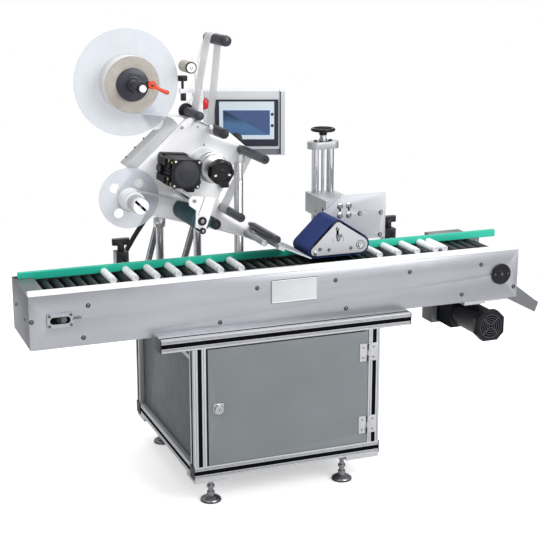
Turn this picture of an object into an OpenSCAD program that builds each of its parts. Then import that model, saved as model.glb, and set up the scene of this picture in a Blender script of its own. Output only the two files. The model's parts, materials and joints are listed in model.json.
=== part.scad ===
// Tube labelling machine: a roller conveyor on a profile cabinet carries tubes past a
// label head on two posts, and a belt unit presses the labels on.
// The line runs along +X, the operator stands at -Y and +Z is up.
// The origin lies on the floor under the middle of the whole machine.

/* [Cabinet] */
// Length of the cabinet along the line
cabinet_len = 620; // [560:1:700]
// Depth of the cabinet, front to back
cabinet_depth = 650; // [620:1:760]
// Height of the upright corner posts
post_h = 377.5; // [300:0.5:520]
// Place of the cabinet's left side past the conveyor's first quarter
cabinet_past = 71; // [40:1:90]
// Side of the square aluminium profile
profile_w = 40; // [36:1:46]
// Width of a slot in the profile
slot_w = 8; // [6:0.5:10]
// Depth of a slot in the profile
slot_depth = 10; // [6:0.5:12]
// Height from the floor to the foot plates
foot_h = 83; // [70:1:110]
// Diameter of a foot pad
foot_d = 66; // [50:1:90]
// Thickness of a foot plate under the frame
foot_plate_t = 13; // [8:0.5:16]
// Length of a foot plate along the line
foot_plate_len = 112; // [90:1:150]
// Thickness of the cabinet panels
panel_t = 3; // [2:0.5:5]
// Thickness of the door
door_t = 16; // [10:0.5:22]
// Gap round the door
door_gap = 2; // [1:0.25:4]
// Height of a hinge
hinge_h = 58; // [40:1:80]
// Width of a hinge leaf
hinge_leaf_w = 26; // [20:1:34]
// Thickness of a hinge leaf
hinge_t = 3; // [2:0.5:4]
// Radius of a hinge knuckle
knuckle_r = 5; // [4:0.25:7]
// Diameter of the round lock on the door
lock_d = 22; // [16:1:30]

/* [Conveyor] */
// Length of the conveyor frame along the line
conveyor_len = 1612; // [1580:1:1800]
// Width of the conveyor over its side plates
conveyor_w = 255; // [245:1:320]
// Height of the side plates
side_h = 160; // [145:1:200]
// Thickness of the side plates
side_t = 2; // [1.5:0.25:3]
// Width of the white rail on the front side plate
rail_w = 20; // [12:1:30]
// Height of the white rail
rail_h = 14.5; // [8:0.5:18]
// Length of the beams under the conveyor
beam_len = 822; // [700:1:1000]
// Width of a beam
beam_w = 80; // [70:1:90]
// Reach of the front beam and the cabinet in front of the conveyor
beam_reach = 43; // [38:1:60]

/* [Roller bed] */
// Distance from one roller to the next
roller_pitch = 33.95; // [33:0.05:34.5]
// Diameter of a conveyor roller
roller_d = 28; // [24:0.5:30]
// Drop of the rollers' tops below the side plates' top edges
bed_drop = 8.5; // [7:0.5:12]
// Distance of the drive shaft from the conveyor's right end
drive_inset = 63; // [55:1:75]
// Diameter of the drive and idler shafts
shaft_d = 20; // [16:1:26]
// Diameter of a tube on the rollers
tube_d = 24; // [18:0.5:26]
// Length of a tube
tube_len = 120; // [100:1:130]

/* [Side guide] */
// Place of the guide's face behind the conveyor's front face
guide_y = 224; // [215:1:228]
// Height of the green guide strip
guide_h = 22.5; // [18:0.5:30]
// Thickness of the green guide strip
guide_t = 6; // [4:0.5:8]
// Diameter of a guide rod
guide_rod_d = 12; // [8:0.5:14]
// Side of a clamp block, seen from above
clamp_w = 40; // [34:1:50]
// Height of a clamp block
clamp_h = 50; // [40:1:60]
// Distance of the left clamp from the conveyor's left end
clamp_left = 348; // [330:1:360]
// Distance of the right clamp from the conveyor's right end
clamp_right = 336; // [300:1:345]

/* [Label head] */
// Place of the head plate's face behind the conveyor's front face
head_y = 230; // [224:1:240]
// Thickness of the head plate
head_t = 12; // [8:0.5:16]
// Width of the label web
web_w = 62; // [40:1:80]
// Diameter of the unwind disc
unwind_disc_d = 320; // [260:1:340]
// Diameter of the label roll
label_roll_d = 167; // [140:1:180]
// Diameter of the rewind disc
rewind_disc_d = 187; // [160:1:200]
// Diameter of the traction roller
traction_d = 62.6; // [58:0.2:64]
// Diameter of the pinch roller
pinch_d = 32; // [28:0.2:33]
// Diameter of the two posts that carry the head
head_post_d = 25; // [20:1:32]
// Side of the head motor's face
head_motor_w = 86; // [70:1:90]
// Length of the head motor
head_motor_len = 160; // [120:1:175]

/* [Press unit] */
// Width of the press belt
belt_w = 127; // [90:1:128]
// Thickness of the press belt
belt_t = 3; // [2:0.25:5]
// Diameter of the two lift columns
column_d = 24; // [18:1:30]
// Distance between the lift columns
column_gap = 54; // [50:1:58]
// Diameter of the handwheel
handwheel_d = 82; // [60:1:110]
// Height of the lift columns above the cabinet
column_h = 508; // [480:1:560]

/* [Control panel] */
// Width of the panel box's face
panel_w = 281; // [250:1:320]
// Height of the panel box's face
panel_h = 185; // [165:1:230]
// Depth of the panel box
panel_d = 70; // [50:1:90]
// Turn of the panel towards the operator, in degrees
panel_turn = 21; // [0:1:30]
// Diameter of the panel post
panel_post_d = 30; // [22:1:36]

/* [Hidden] */

$fn = 64;
// Overrun of a cut past the face it opens
over = 1;
// Depth by which joined pieces sink into each other
sink = 1;
// Running clearance of a shaft in its bore, on the radius
run_gap = 0.05;
// Clearance of loose and soft pieces
soft_gap = 0.3;

// Heights of the frame, from the floor up
rail_z = foot_h + foot_plate_t;
post_z = rail_z + profile_w;
cabinet_top = post_z + post_h;
beam_h = profile_w;
conveyor_z = cabinet_top + beam_h;
deck_z = conveyor_z + side_h;
rail_top = deck_z + rail_h;
// Ends of the cabinet along and across the line
cabinet_x = conveyor_len / 4 + cabinet_past;
cabinet_x1 = cabinet_x + cabinet_len;
cabinet_y = -beam_reach;
cabinet_y1 = cabinet_y + cabinet_depth;
door_x = cabinet_x + profile_w + door_gap;
door_x1 = cabinet_x1 - profile_w - door_gap;
door_z = post_z + door_gap;
door_z1 = cabinet_top - door_gap;
hinge_pin_x = door_x1 + door_gap / 2;
hinge_pin_y = cabinet_y - knuckle_r;
pin_r = 2.5;
hinge_shares = [0.09, 0.73];
hinge_zs = [for (s = hinge_shares) post_z + post_h * s];
lock_inset = 36;
lock_share = 0.48;
lock_x = door_x + lock_inset;
lock_z = post_z + post_h * lock_share;
lock_proud = 9;

// Roller bed
roller_r = roller_d / 2;
roller_z = deck_z - bed_drop - roller_r;
idler_inset = 80;
drive_x = conveyor_len - drive_inset;
pitches = floor((drive_x - idler_inset) / roller_pitch);
wrap_pitches = 5;
wrap_r = wrap_pitches * roller_pitch / PI;
shaft_z = roller_z - wrap_r;
return_z = shaft_z - wrap_r;
idler_x = drive_x - pitches * roller_pitch;
link_t = 3;
link_h = 12;
link_gap = 3;
sprocket_t = 4;
roller_end = side_t + 2 * link_gap + link_t + sprocket_t;
axle_r = 4;
shaft_r = shaft_d / 2;
tube_r = tube_d / 2;
tube_gap = 0.2;
tube_z = roller_z + sqrt(pow(tube_r + roller_r + tube_gap, 2) - pow(roller_pitch / 2, 2));
// Gaps between rollers that hold a tube, counted from the idler shaft
tube_slots = [5, 7, 9, 11, 13, 15, 17, 31, 33, 35, 37, 38];

// Chute at the right end
chute_reach = 88;
chute_drop = 58;
chute_wall = 62;
chute_t = 2;
chute_gap = 0.5;
chute_rise = 58;
chute_top = conveyor_z + chute_rise;
chute_lap = 26;

// Whole machine's middle, as the origin
line_x = (conveyor_len + chute_reach) / 2;
line_y = (cabinet_y + cabinet_y1) / 2;

module in_line() {
    translate([-line_x, -line_y, 0]) children();
}

// Outline in X and Z, drawn through from y to y + t
module xz_plate(y, t) {
    translate([0, y + t, 0]) rotate([90, 0, 0]) linear_extrude(t) children();
}

// Cylinder along Y, from y to y1
module y_rod(x, z, y, y1, r) {
    translate([x, y, z]) rotate([-90, 0, 0]) cylinder(h = y1 - y, r = r);
}

// Cylinder along X, from x to x1
module x_rod(x, x1, y, z, r) {
    translate([x, y, z]) rotate([0, 90, 0]) cylinder(h = x1 - x, r = r);
}

// Section of the square profile with a slot in each face
module profile_section() {
    difference() {
        square(profile_w);
        for (a = [0:90:270])
            translate([profile_w / 2, profile_w / 2]) rotate(a)
                translate([-slot_w / 2, profile_w / 2 - slot_depth]) square([slot_w, slot_depth + over]);
    }
}

// Section of a beam, as two profiles side by side
module beam_section() {
    slot_share = 0.25;
    difference() {
        square([beam_w, beam_h]);
        for (s = [slot_share, 1 - slot_share]) {
            translate([beam_w * s - slot_w / 2, beam_h - slot_depth]) square([slot_w, slot_depth + over]);
            translate([beam_w * s - slot_w / 2, -over]) square([slot_w, slot_depth + over]);
        }
        translate([-over, (beam_h - slot_w) / 2]) square([slot_depth + over, slot_w]);
        translate([beam_w - slot_depth, (beam_h - slot_w) / 2]) square([slot_depth + over, slot_w]);
    }
}

module profile_x(x, x1, y, z) {
    translate([x, y, z]) rotate([90, 0, 90]) linear_extrude(x1 - x) profile_section();
}

module profile_y(y, y1, x, z) {
    translate([x, y1, z]) rotate([90, 0, 0]) linear_extrude(y1 - y) profile_section();
}

module cabinet_posts() {
    color("gainsboro") in_line()
        for (x = [cabinet_x, cabinet_x1 - profile_w], y = [cabinet_y, cabinet_y1 - profile_w])
            translate([x, y, post_z]) linear_extrude(post_h) profile_section();
}

// Foot plates under the four corners
foot_plate_past = 44;
foot_plate_w = profile_w + foot_plate_past;
foot_inset_left = 67;
foot_inset_right = 105;
foot_inset_front = 50;
foot_inset_back = 82;
foot_xs = [cabinet_x + foot_inset_left, cabinet_x1 - foot_inset_right];
foot_ys = [cabinet_y + foot_inset_front, cabinet_y1 - foot_inset_back];

module cabinet_rails() {
    color("gainsboro") in_line() {
        profile_x(cabinet_x, cabinet_x1, cabinet_y, rail_z);
        profile_x(cabinet_x, cabinet_x1, cabinet_y1 - profile_w, rail_z);
        for (x = [cabinet_x, cabinet_x1 - profile_w]) {
            profile_y(cabinet_y + profile_w, cabinet_y1 - profile_w, x, rail_z);
            profile_y(cabinet_y + profile_w, cabinet_y1 - profile_w, x, cabinet_top - profile_w);
        }
        profile_x(cabinet_x + profile_w, cabinet_x1 - profile_w, cabinet_y1 - profile_w, cabinet_top - profile_w);
    }
}

module cabinet_panels() {
    seat = profile_w / 2 - slot_w / 2;
    slot_play = 2;
    lap = slot_depth - slot_play;
    color("slategray") in_line() {
        // Side panels, held in the slots of the posts
        for (x = [cabinet_x + seat, cabinet_x1 - seat - panel_t])
            translate([x, cabinet_y + profile_w - lap, post_z])
                cube([panel_t, cabinet_depth - 2 * (profile_w - lap), post_h - profile_w]);
        // Back panel
        translate([cabinet_x + profile_w - lap, cabinet_y1 - seat - panel_t, post_z])
            cube([cabinet_len - 2 * (profile_w - lap), panel_t, post_h - profile_w]);
        // Floor in the slots of the bottom rails
        translate([cabinet_x + profile_w - lap, cabinet_y + profile_w - lap, rail_z + seat])
            cube([cabinet_len - 2 * (profile_w - lap), cabinet_depth - 2 * (profile_w - lap), panel_t]);
        // Top plate between the upper rails
        translate([cabinet_x + profile_w, beam_w - beam_reach, cabinet_top - top_plate_t])
            cube([cabinet_len - 2 * profile_w, cabinet_y1 - profile_w - beam_w + beam_reach, top_plate_t]);
    }
}
top_plate_t = 8;

module cabinet_feet() {
    pad_h = 16;
    pad_edge = 5;
    stud_r = 6;
    nut_r = 11;
    nut_h = 9;
    neck_r = 11;
    color("silver") in_line() for (x = foot_xs, y = foot_ys) {
        // Rubber-edged pad with its cone, stud and lock nut
        translate([x, y, 0]) {
            cylinder(h = pad_edge, d = foot_d);
            translate([0, 0, pad_edge]) cylinder(h = pad_h, d1 = foot_d, d2 = 2 * neck_r);
            cylinder(h = foot_h, r = stud_r);
            translate([0, 0, pad_edge + pad_h]) cylinder(h = nut_h, r = neck_r);
            translate([0, 0, foot_h - nut_h]) cylinder(h = nut_h, r = nut_r, $fn = 6);
        }
    }
    // Foot plates at the corners of the frame
    color("gainsboro") in_line()
        for (x = [cabinet_x, cabinet_x1 - foot_plate_len], y = [cabinet_y, cabinet_y1 - foot_plate_w])
            translate([x, y, foot_h]) cube([foot_plate_len, foot_plate_w, foot_plate_t]);
}

// Black end caps on the profiles and the fixed hinge leaves with their pins
cap_t = 3;
beam_past_share = 0.48;
beam_x = cabinet_x - (beam_len - cabinet_len) * beam_past_share;
beam_x1 = beam_x + beam_len;
back_beam_y = conveyor_w - profile_w;

module cabinet_fittings() {
    color("black") in_line() {
        // Caps on the ends of the two long bottom rails
        for (x = [cabinet_x - cap_t, cabinet_x1], y = [cabinet_y, cabinet_y1 - profile_w])
            translate([x, y, rail_z]) cube([cap_t, profile_w, profile_w]);
        // Caps on the ends of the beams
        for (x = [beam_x - cap_t, beam_x1]) {
            translate([x, cabinet_y, cabinet_top]) cube([cap_t, beam_w, beam_h]);
            translate([x, back_beam_y, cabinet_top]) cube([cap_t, profile_w, beam_h]);
        }
        // Fixed hinge leaves on the right post
        for (z = hinge_zs) {
            translate([hinge_pin_x + knuckle_r + run_gap, cabinet_y - hinge_t, z])
                cube([hinge_leaf_w, hinge_t, hinge_h]);
            for (s = [0, 2 / 3]) translate([0, 0, z + hinge_h * s]) {
                translate([hinge_pin_x, hinge_pin_y, 0]) cylinder(h = hinge_h / 3, r = knuckle_r);
                translate([hinge_pin_x, cabinet_y - hinge_t, 0])
                    cube([knuckle_r + sink, hinge_t, hinge_h / 3]);
            }
            translate([hinge_pin_x, hinge_pin_y, z]) cylinder(h = hinge_h, r = pin_r);
        }
    }
}

// Door in the front opening with the moving hinge leaves
module cabinet_door() {
    knuckle_gap = 0.3;
    color("lightslategray") in_line() difference() {
        translate([door_x, cabinet_y, door_z]) cube([door_x1 - door_x, door_t, door_z1 - door_z]);
        y_rod(lock_x, lock_z, cabinet_y - over, cabinet_y + door_t + over, lock_d / 4 + run_gap);
        // Clearance for the hinge knuckles in the door's edge
        for (z = hinge_zs) translate([hinge_pin_x, hinge_pin_y, z - door_gap])
            cylinder(h = hinge_h + 2 * door_gap, r = knuckle_r + knuckle_gap);
    }
    color("silver") in_line() for (z = hinge_zs) {
        translate([hinge_pin_x - knuckle_r - hinge_leaf_w, cabinet_y - hinge_t, z])
            cube([hinge_leaf_w, hinge_t, hinge_h]);
        difference() {
            union() {
                translate([hinge_pin_x, hinge_pin_y, z + hinge_h / 3 + knuckle_gap])
                    cylinder(h = hinge_h / 3 - 2 * knuckle_gap, r = knuckle_r);
                translate([hinge_pin_x - knuckle_r - sink, cabinet_y - hinge_t, z + hinge_h / 3 + knuckle_gap])
                    cube([knuckle_r + sink, hinge_t, hinge_h / 3 - 2 * knuckle_gap]);
            }
            translate([hinge_pin_x, hinge_pin_y, z]) cylinder(h = hinge_h, r = pin_r + run_gap);
        }
    }
}

// Round lock with a cam behind the door
module door_lock() {
    cam_len = 34;
    cam_t = 3;
    cam_share = 0.8;
    color("silver") in_line() {
        y_rod(lock_x, lock_z, cabinet_y - lock_proud, cabinet_y - run_gap, lock_d / 2);
        y_rod(lock_x, lock_z, cabinet_y - lock_proud, cabinet_y + door_t + cam_t, lock_d / 4);
        translate([lock_x - cam_len * cam_share, cabinet_y + door_t + run_gap, lock_z - lock_d / 4])
            cube([cam_len, cam_t, lock_d / 2]);
    }
}

module conveyor_beams() {
    color("gainsboro") in_line() {
        translate([beam_x, cabinet_y, cabinet_top]) rotate([90, 0, 90]) linear_extrude(beam_len) beam_section();
        profile_x(beam_x, beam_x1, back_beam_y, cabinet_top);
    }
}

// Tensioner slot and shaft bores that both side plates share
slot_len = 54;
slot_h = 15;
slot_room = 8;
module side_openings(y) {
    open_h = slot_h + slot_room;
    y_rod(drive_x, shaft_z, y - over, y + side_t + over, shaft_r + run_gap);
    xz_plate(y - over, side_t + 2 * over) {
        translate([idler_x - slot_len / 2 + slot_h / 2, shaft_z]) circle(d = open_h);
        translate([idler_x + slot_len / 2 - slot_h / 2, shaft_z]) circle(d = open_h);
        translate([idler_x - slot_len / 2 + slot_h / 2, shaft_z - open_h / 2])
            square([slot_len - slot_h, open_h]);
    }
}

rail_cut = 34;
flange_w = 18;
chute_clear = 3;
flange_len = conveyor_len - chute_lap - chute_clear;
// Ledges under the roller chain's side links, on the side plate whose inner face is at y
ledge_t = 4;
ledge_reach = link_gap + link_t;
module chain_ledges(y) {
    for (z = [roller_z, return_z])
        translate([idler_x + 2 * roller_pitch, y, z - link_h / 2 - ledge_t])
            cube([(pitches - 4) * roller_pitch, ledge_reach, ledge_t]);
}
module side_plate_front() {
    color("lightgray") in_line() difference() {
        union() {
            translate([0, 0, conveyor_z]) cube([conveyor_len, side_t, side_h]);
            translate([side_t, 0, conveyor_z]) cube([flange_len - side_t, flange_w, side_t]);
            translate([side_t, 0, deck_z - side_t]) cube([conveyor_len - side_t, rail_w, side_t]);
            chain_ledges(side_t);
        }
        side_openings(0);
    }
}

// Back plate with its flange, and the left end plate bent from it
end_cover_len = 58;
module side_plate_back() {
    color("silver") in_line() {
        difference() {
            union() {
                translate([0, conveyor_w - side_t, conveyor_z]) cube([conveyor_len, side_t, side_h]);
                translate([0, conveyor_w - flange_w, conveyor_z]) cube([flange_len, flange_w, side_t]);
                chain_ledges(conveyor_w - side_t - ledge_reach);
            }
            side_openings(conveyor_w - side_t);
        }
        translate([0, side_t, conveyor_z]) cube([side_t, conveyor_w - 2 * side_t, side_h]);
        // Cover over the left end of the bed, behind the white rail
        translate([0, rail_w, deck_z - side_t]) cube([end_cover_len, guide_y - soft_gap - rail_w, side_t]);
    }
}

rail_cut_share = 0.3;
rail_end_share = 0.35;
rail_bevel = 3;
module front_rail() {
    color("white") in_line() xz_plate(0, rail_w)
        polygon([
            [0, deck_z], [conveyor_len, deck_z], [conveyor_len, deck_z + rail_h * rail_end_share],
            [conveyor_len - rail_cut * rail_cut_share, rail_top - rail_bevel], [conveyor_len - rail_cut, rail_top],
            [0, rail_top]
        ]);
}

// Bare name plate, tensioner plate, bearing cover and screws on the front face
plate_t = 3;
screw_r = 5.5;
screw_h = 3;
name_x_share = 0.507;
name_z_share = 0.635;
name_w = 152;
name_h = 71;
// Places of the face screws, as shares of the conveyor's length and the plate's height
face_screw_shares = [
    [0.0043, 0.54], [0.107, 0.745], [0.0965, 0.15], [0.4315, 0.745], [0.357, 0.15], [0.593, 0.745],
    [0.616, 0.15], [0.753, 0.755], [0.914, 0.76], [0.872, 0.17], [0.992, 0.22]
];
cover_r = 34;
tensioner_w = 77;
tensioner_h = 44;
module face_fittings() {
    small_r = 3.5;
    corner_inset = 7;
    slot_edge = 6;
    end_screw_shares = [[0.77, 0.55], [0.26, 0.48]];
    cover_screw_r = 4.5;
    cover_pin_r = 2.5;
    cover_pin_share = 0.7;
    color("silver") in_line() {
        translate([conveyor_len * name_x_share - name_w / 2, -plate_t, conveyor_z + side_h * name_z_share - name_h / 2])
            cube([name_w, plate_t, name_h]);
        for (s = face_screw_shares)
            y_rod(conveyor_len * s[0], conveyor_z + side_h * s[1], -screw_h, 0, screw_r);
        // Tensioner plates with their slots, on both sides
        for (y = [-plate_t, conveyor_w]) xz_plate(y, plate_t) difference() {
            translate([idler_x - tensioner_w / 2, shaft_z - tensioner_h / 2])
                square([tensioner_w, tensioner_h]);
            hull() for (s = [-1, 1]) translate([idler_x + s * (slot_len - slot_h) / 2, shaft_z])
                circle(d = slot_h + slot_edge);
        }
        for (x = [-1, 1], z = [-1, 1])
            y_rod(idler_x + x * (tensioner_w / 2 - corner_inset), shaft_z + z * (tensioner_h / 2 - corner_inset),
                -plate_t - screw_h, -plate_t, small_r);
        // Screws of the end plate
        for (s = end_screw_shares)
            x_rod(-screw_h, 0, conveyor_w * s[0], conveyor_z + side_h * s[1], small_r);
    }
    color("dimgray") in_line() {
        // Round bearing cover over the drive shaft's front end
        y_rod(drive_x, shaft_z, -2 * plate_t, 0, cover_r);
        y_rod(drive_x, shaft_z, -2 * plate_t - screw_h, -2 * plate_t, cover_screw_r);
        for (s = [-1, 1])
            y_rod(drive_x + s * cover_r * cover_pin_share, shaft_z, -2 * plate_t - sink, -2 * plate_t, cover_pin_r);
    }
}

// Gearmotor under the right end, with its bracket strips and the chain guard behind the conveyor
motor_w = 100;
motor_back = 42;
motor_drop = 35;
motor_x = drive_x - motor_back;
motor_z = conveyor_z - motor_drop - motor_w / 2;
motor_y = -20;
gear_len = 100;
guard_t = 2;
guard_d = 70;
guard_left = 20;
guard_low = 8;
guard_side = 20;
guard_rise = 4.5;
guard_x = motor_x - motor_w / 2 - guard_left;
guard_x1 = drive_x + guard_side;
guard_z = motor_z - motor_w / 2 - guard_low;
guard_z1 = deck_z + guard_rise;
module drive_gearmotor() {
    corner = 33.6;
    strip_left = 89;
    strip_step = 12;
    strip_past = 8;
    strip_x = motor_x - strip_left;
    strip_x1 = motor_x - strip_step;
    strip_h = 12;
    cap_len = 26;
    body_step = 2;
    guard_room = 2;
    color("#1c1d22") in_line() {
        // Motor with cut corners and a round fan cover
        xz_plate(motor_y, cap_len) translate([motor_x, motor_z]) difference() {
            square(motor_w, center = true);
            for (a = [0:90:270]) rotate(a) translate([motor_w / 2, motor_w / 2]) rotate(45)
                square([corner, corner], center = true);
        }
        y_rod(motor_x, motor_z, motor_y + cap_len, conveyor_w - gear_len, motor_w / 2 - body_step);
        translate([motor_x - motor_w / 2, conveyor_w - gear_len, motor_z - motor_w / 2])
            cube([motor_w, gear_len, motor_w]);
        // Riser from the gear housing to the bracket
        translate([motor_x - motor_w / 2, conveyor_w - gear_len, motor_z + motor_w / 2])
            cube([motor_w, gear_len / 2, conveyor_z - strip_h - motor_z - motor_w / 2]);
    }
    color("silver") in_line() {
        translate([strip_x, side_t, conveyor_z - strip_h]) cube([strip_x1 - strip_x, conveyor_w - side_t, strip_h]);
        translate([strip_x1, side_t, conveyor_z - strip_h / 2])
            cube([strip_x1 - strip_x + strip_past, conveyor_w - side_t, strip_h / 2]);
    }
    color("gray") in_line() difference() {
        translate([guard_x, conveyor_w, guard_z]) cube([guard_x1 - guard_x, guard_d, guard_z1 - guard_z]);
        translate([guard_x + guard_t, conveyor_w + guard_t, guard_z + guard_t])
            cube([guard_x1 - guard_x - 2 * guard_t, guard_d - 2 * guard_t, guard_z1 - guard_z - 2 * guard_t]);
        y_rod(drive_x, shaft_z, conveyor_w - over, conveyor_w + guard_t + over, shaft_r + guard_room);
    }
}

// Open chute that catches the tubes at the right end
module discharge_chute() {
    inner_y = side_t + chute_gap;
    chute_w = conveyor_w - 2 * inner_y;
    tip_x = conveyor_len + chute_reach;
    root_x = conveyor_len - chute_lap;
    floor_root = chute_top - chute_wall;
    floor_tip = floor_root - chute_drop;
    nose = 12;
    nose_bevel = 3;
    // Heights of the rounded tip corner above the floor's tip
    tip_heights = [30, 37, 42];
    spacer_r = 6;
    color("silver") in_line() {
        // Sloping floor
        xz_plate(inner_y, chute_w) polygon([
            [root_x, floor_root], [tip_x - nose, floor_tip], [tip_x - nose, floor_tip + chute_t], [root_x, floor_root + chute_t]
        ]);
        // Side walls with a rounded tip corner
        for (y = [inner_y, conveyor_w - inner_y - chute_t]) xz_plate(y, chute_t) polygon([
            [root_x, floor_root], [tip_x - nose, floor_tip], [tip_x, floor_tip + tip_heights[0]],
            [tip_x - nose_bevel, floor_tip + tip_heights[1]], [tip_x - nose, floor_tip + tip_heights[2]],
            [root_x, chute_top - chute_t]
        ]);
        // Spacers that screw the chute to the side plates
        for (y = [side_t, conveyor_w - inner_y])
            y_rod(conveyor_len - chute_lap / 2, floor_root + chute_wall / 2, y, y + chute_gap, spacer_r);
    }
}

// Green guide strip with its backing bar and the two rods
backing_t = 3;
backing_rise = 2.5;
guide_drop = 7;
guide_z = deck_z - guide_drop;
rod_share = 0.62;
rod_z = guide_z + guide_h * rod_share;
guide_x = 13;
guide_past = 44;
guide_x1 = conveyor_len + guide_past;
rod_reach = 60;
rod_end = conveyor_w + rod_reach;
module side_guide() {
    back_y = guide_y + guide_t;
    color("mediumseagreen") in_line()
        translate([guide_x, guide_y, guide_z]) cube([guide_x1 - guide_x, guide_t, guide_h]);
    color("silver") in_line() {
        translate([guide_x, back_y, guide_z]) cube([guide_x1 - guide_x, backing_t, guide_h + backing_rise]);
        for (x = clamp_xs)
            y_rod(x, rod_z, back_y + backing_t, rod_end, guide_rod_d / 2);
    }
}

clamp_xs = [clamp_left, conveyor_len - clamp_right];
clamp_off = 10;
clamp_y = conveyor_w + clamp_off;
clamp_low = 8;
clamp_z = deck_z - clamp_low;
// Clamp blocks on brackets behind the conveyor
module guide_clamps() {
    bracket_t = 5;
    stem_r = 5;
    color("#1c1d22") in_line() for (x = clamp_xs) difference() {
        translate([x - clamp_w / 2, clamp_y, clamp_z]) cube([clamp_w, clamp_w, clamp_h]);
        y_rod(x, rod_z, clamp_y - over, clamp_y + clamp_w + over, guide_rod_d / 2 + run_gap);
        translate([x, clamp_y + clamp_w / 2, clamp_z + clamp_h / 2])
            cylinder(h = clamp_h, r = stem_r + run_gap);
    }
    color("silver") in_line() for (x = clamp_xs) {
        translate([x - clamp_w / 2, conveyor_w, clamp_z - bracket_t])
            cube([clamp_w, clamp_w + clamp_y - conveyor_w, bracket_t]);
        translate([x - clamp_w / 2, conveyor_w, clamp_z - clamp_h])
            cube([clamp_w, bracket_t, clamp_h - bracket_t]);
    }
}

// Winged knob with its stem, over the clamp block at x
module wing_knob(x) {
    stem_r = 5;
    neck_r = 11;
    neck_h = 22;
    wing_len = 56;
    wing_w = 19;
    wing_h = 20;
    wing_rise = 20;
    knob_z = clamp_z + clamp_h;
    color("#1c1d22") in_line() translate([x, clamp_y + clamp_w / 2, 0]) {
        translate([0, 0, clamp_z + clamp_h / 2 + over]) cylinder(h = clamp_h / 2, r = stem_r);
        translate([0, 0, knob_z + soft_gap]) cylinder(h = neck_h, r = neck_r);
        translate([-wing_len / 2 + wing_w / 2, -wing_w / 2, knob_z + wing_rise]) cube([wing_len - wing_w, wing_w, wing_h]);
        for (s = [-1, 1])
            translate([s * (wing_len - wing_w) / 2, 0, knob_z + wing_rise]) cylinder(h = wing_h, d = wing_w);
    }
}
module clamp_knob_left() { wing_knob(clamp_xs[0]); }
module clamp_knob_right() { wing_knob(clamp_xs[1]); }

// Rollers and side links of one straight run, at height z
module straight_run(z) {
    link_y = side_t + link_gap;
    count = pitches - 1;
    for (k = [1:count]) {
        x = idler_x + k * roller_pitch;
        y_rod(x, z, roller_end, conveyor_w - roller_end, roller_r);
        y_rod(x, z, link_y, conveyor_w - link_y, axle_r);
    }
    for (y = [link_y, conveyor_w - link_y - link_t])
        translate([idler_x + roller_pitch - link_h / 2, y, z - link_h / 2])
            cube([(count - 1) * roller_pitch + link_h, link_t, link_h]);
}
module bed_top_run() { color("#26282c") in_line() straight_run(roller_z); }
module bed_return_run() { color("#26282c") in_line() straight_run(return_z); }

// Shaft with two sprockets and the rollers that go round them, on the side given by dir
module wrap_shaft(x, dir, y, y1) {
    link_y = side_t + link_gap;
    wheel_gap = 1;
    wheel_y = link_y + link_t + wheel_gap;
    wheel_t = sprocket_t - wheel_gap;
    wheel_r = wrap_r - axle_r - soft_gap;
    wheels = [wheel_y, conveyor_w - wheel_y - wheel_t];
    lug_w = 6;
    lug_in = 3;
    lug_step = 0.5;
    eye_rim = 1;
    eye_r = link_h / 2 + eye_rim;
    bar_h = link_h - 2 * eye_rim;
    bar_step = 0.5;
    bar_back = 3;
    step = 180 / wrap_pitches;
    y_rod(x, shaft_z, y, y1, shaft_r);
    for (w = wheels) y_rod(x, shaft_z, w, w + wheel_t, wheel_r);
    for (k = [0:wrap_pitches]) {
        a = 90 - dir * k * step;
        rx = x + wrap_r * cos(a);
        rz = shaft_z + wrap_r * sin(a);
        y_rod(rx, rz, roller_end, conveyor_w - roller_end, roller_r);
        y_rod(rx, rz, link_y + sink, conveyor_w - link_y - sink, axle_r);
        for (w = [link_y, conveyor_w - link_y - link_t]) y_rod(rx, rz, w, w + link_t, eye_r);
        // Lugs that join the sprockets to their axles
        for (w = wheels) translate([x, w + lug_step, shaft_z]) rotate([0, -a, 0])
            translate([wheel_r - lug_in, 0, -lug_w / 2]) cube([wrap_r - wheel_r + lug_in, wheel_t - 2 * lug_step, lug_w]);
    }
    // Side links between the axles
    for (k = [0:wrap_pitches - 1], w = [link_y, conveyor_w - link_y - link_t]) {
        a = 90 - dir * (k + 0.5) * step;
        chord = 2 * wrap_r * sin(step / 2);
        translate([x, w + bar_step, shaft_z]) rotate([0, -a, 0])
            translate([wrap_r * cos(step / 2) - bar_h / 2, 0, bar_back - chord / 2])
                cube([bar_h, link_t - 2 * bar_step, chord - 2 * bar_back]);
    }
}
module drive_shaft() {
    color("#26282c") in_line() wrap_shaft(drive_x, 1, 0, conveyor_w + guard_d / 2);
}
module idler_shaft() {
    color("#26282c") in_line() wrap_shaft(idler_x, -1, 0, conveyor_w);
}

// Tubes that lie in the gaps between the rollers
module sample_tubes() {
    cap_len = 16;
    cap_step = 1;
    color("white") in_line() for (s = tube_slots) {
        x = idler_x + (s + 0.5) * roller_pitch;
        y1 = guide_y - soft_gap;
        y_rod(x, tube_z, y1 - tube_len + cap_len, y1, tube_r);
        y_rod(x, tube_z, y1 - tube_len, y1 - tube_len + cap_len, tube_r - cap_step);
    }
}

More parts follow.
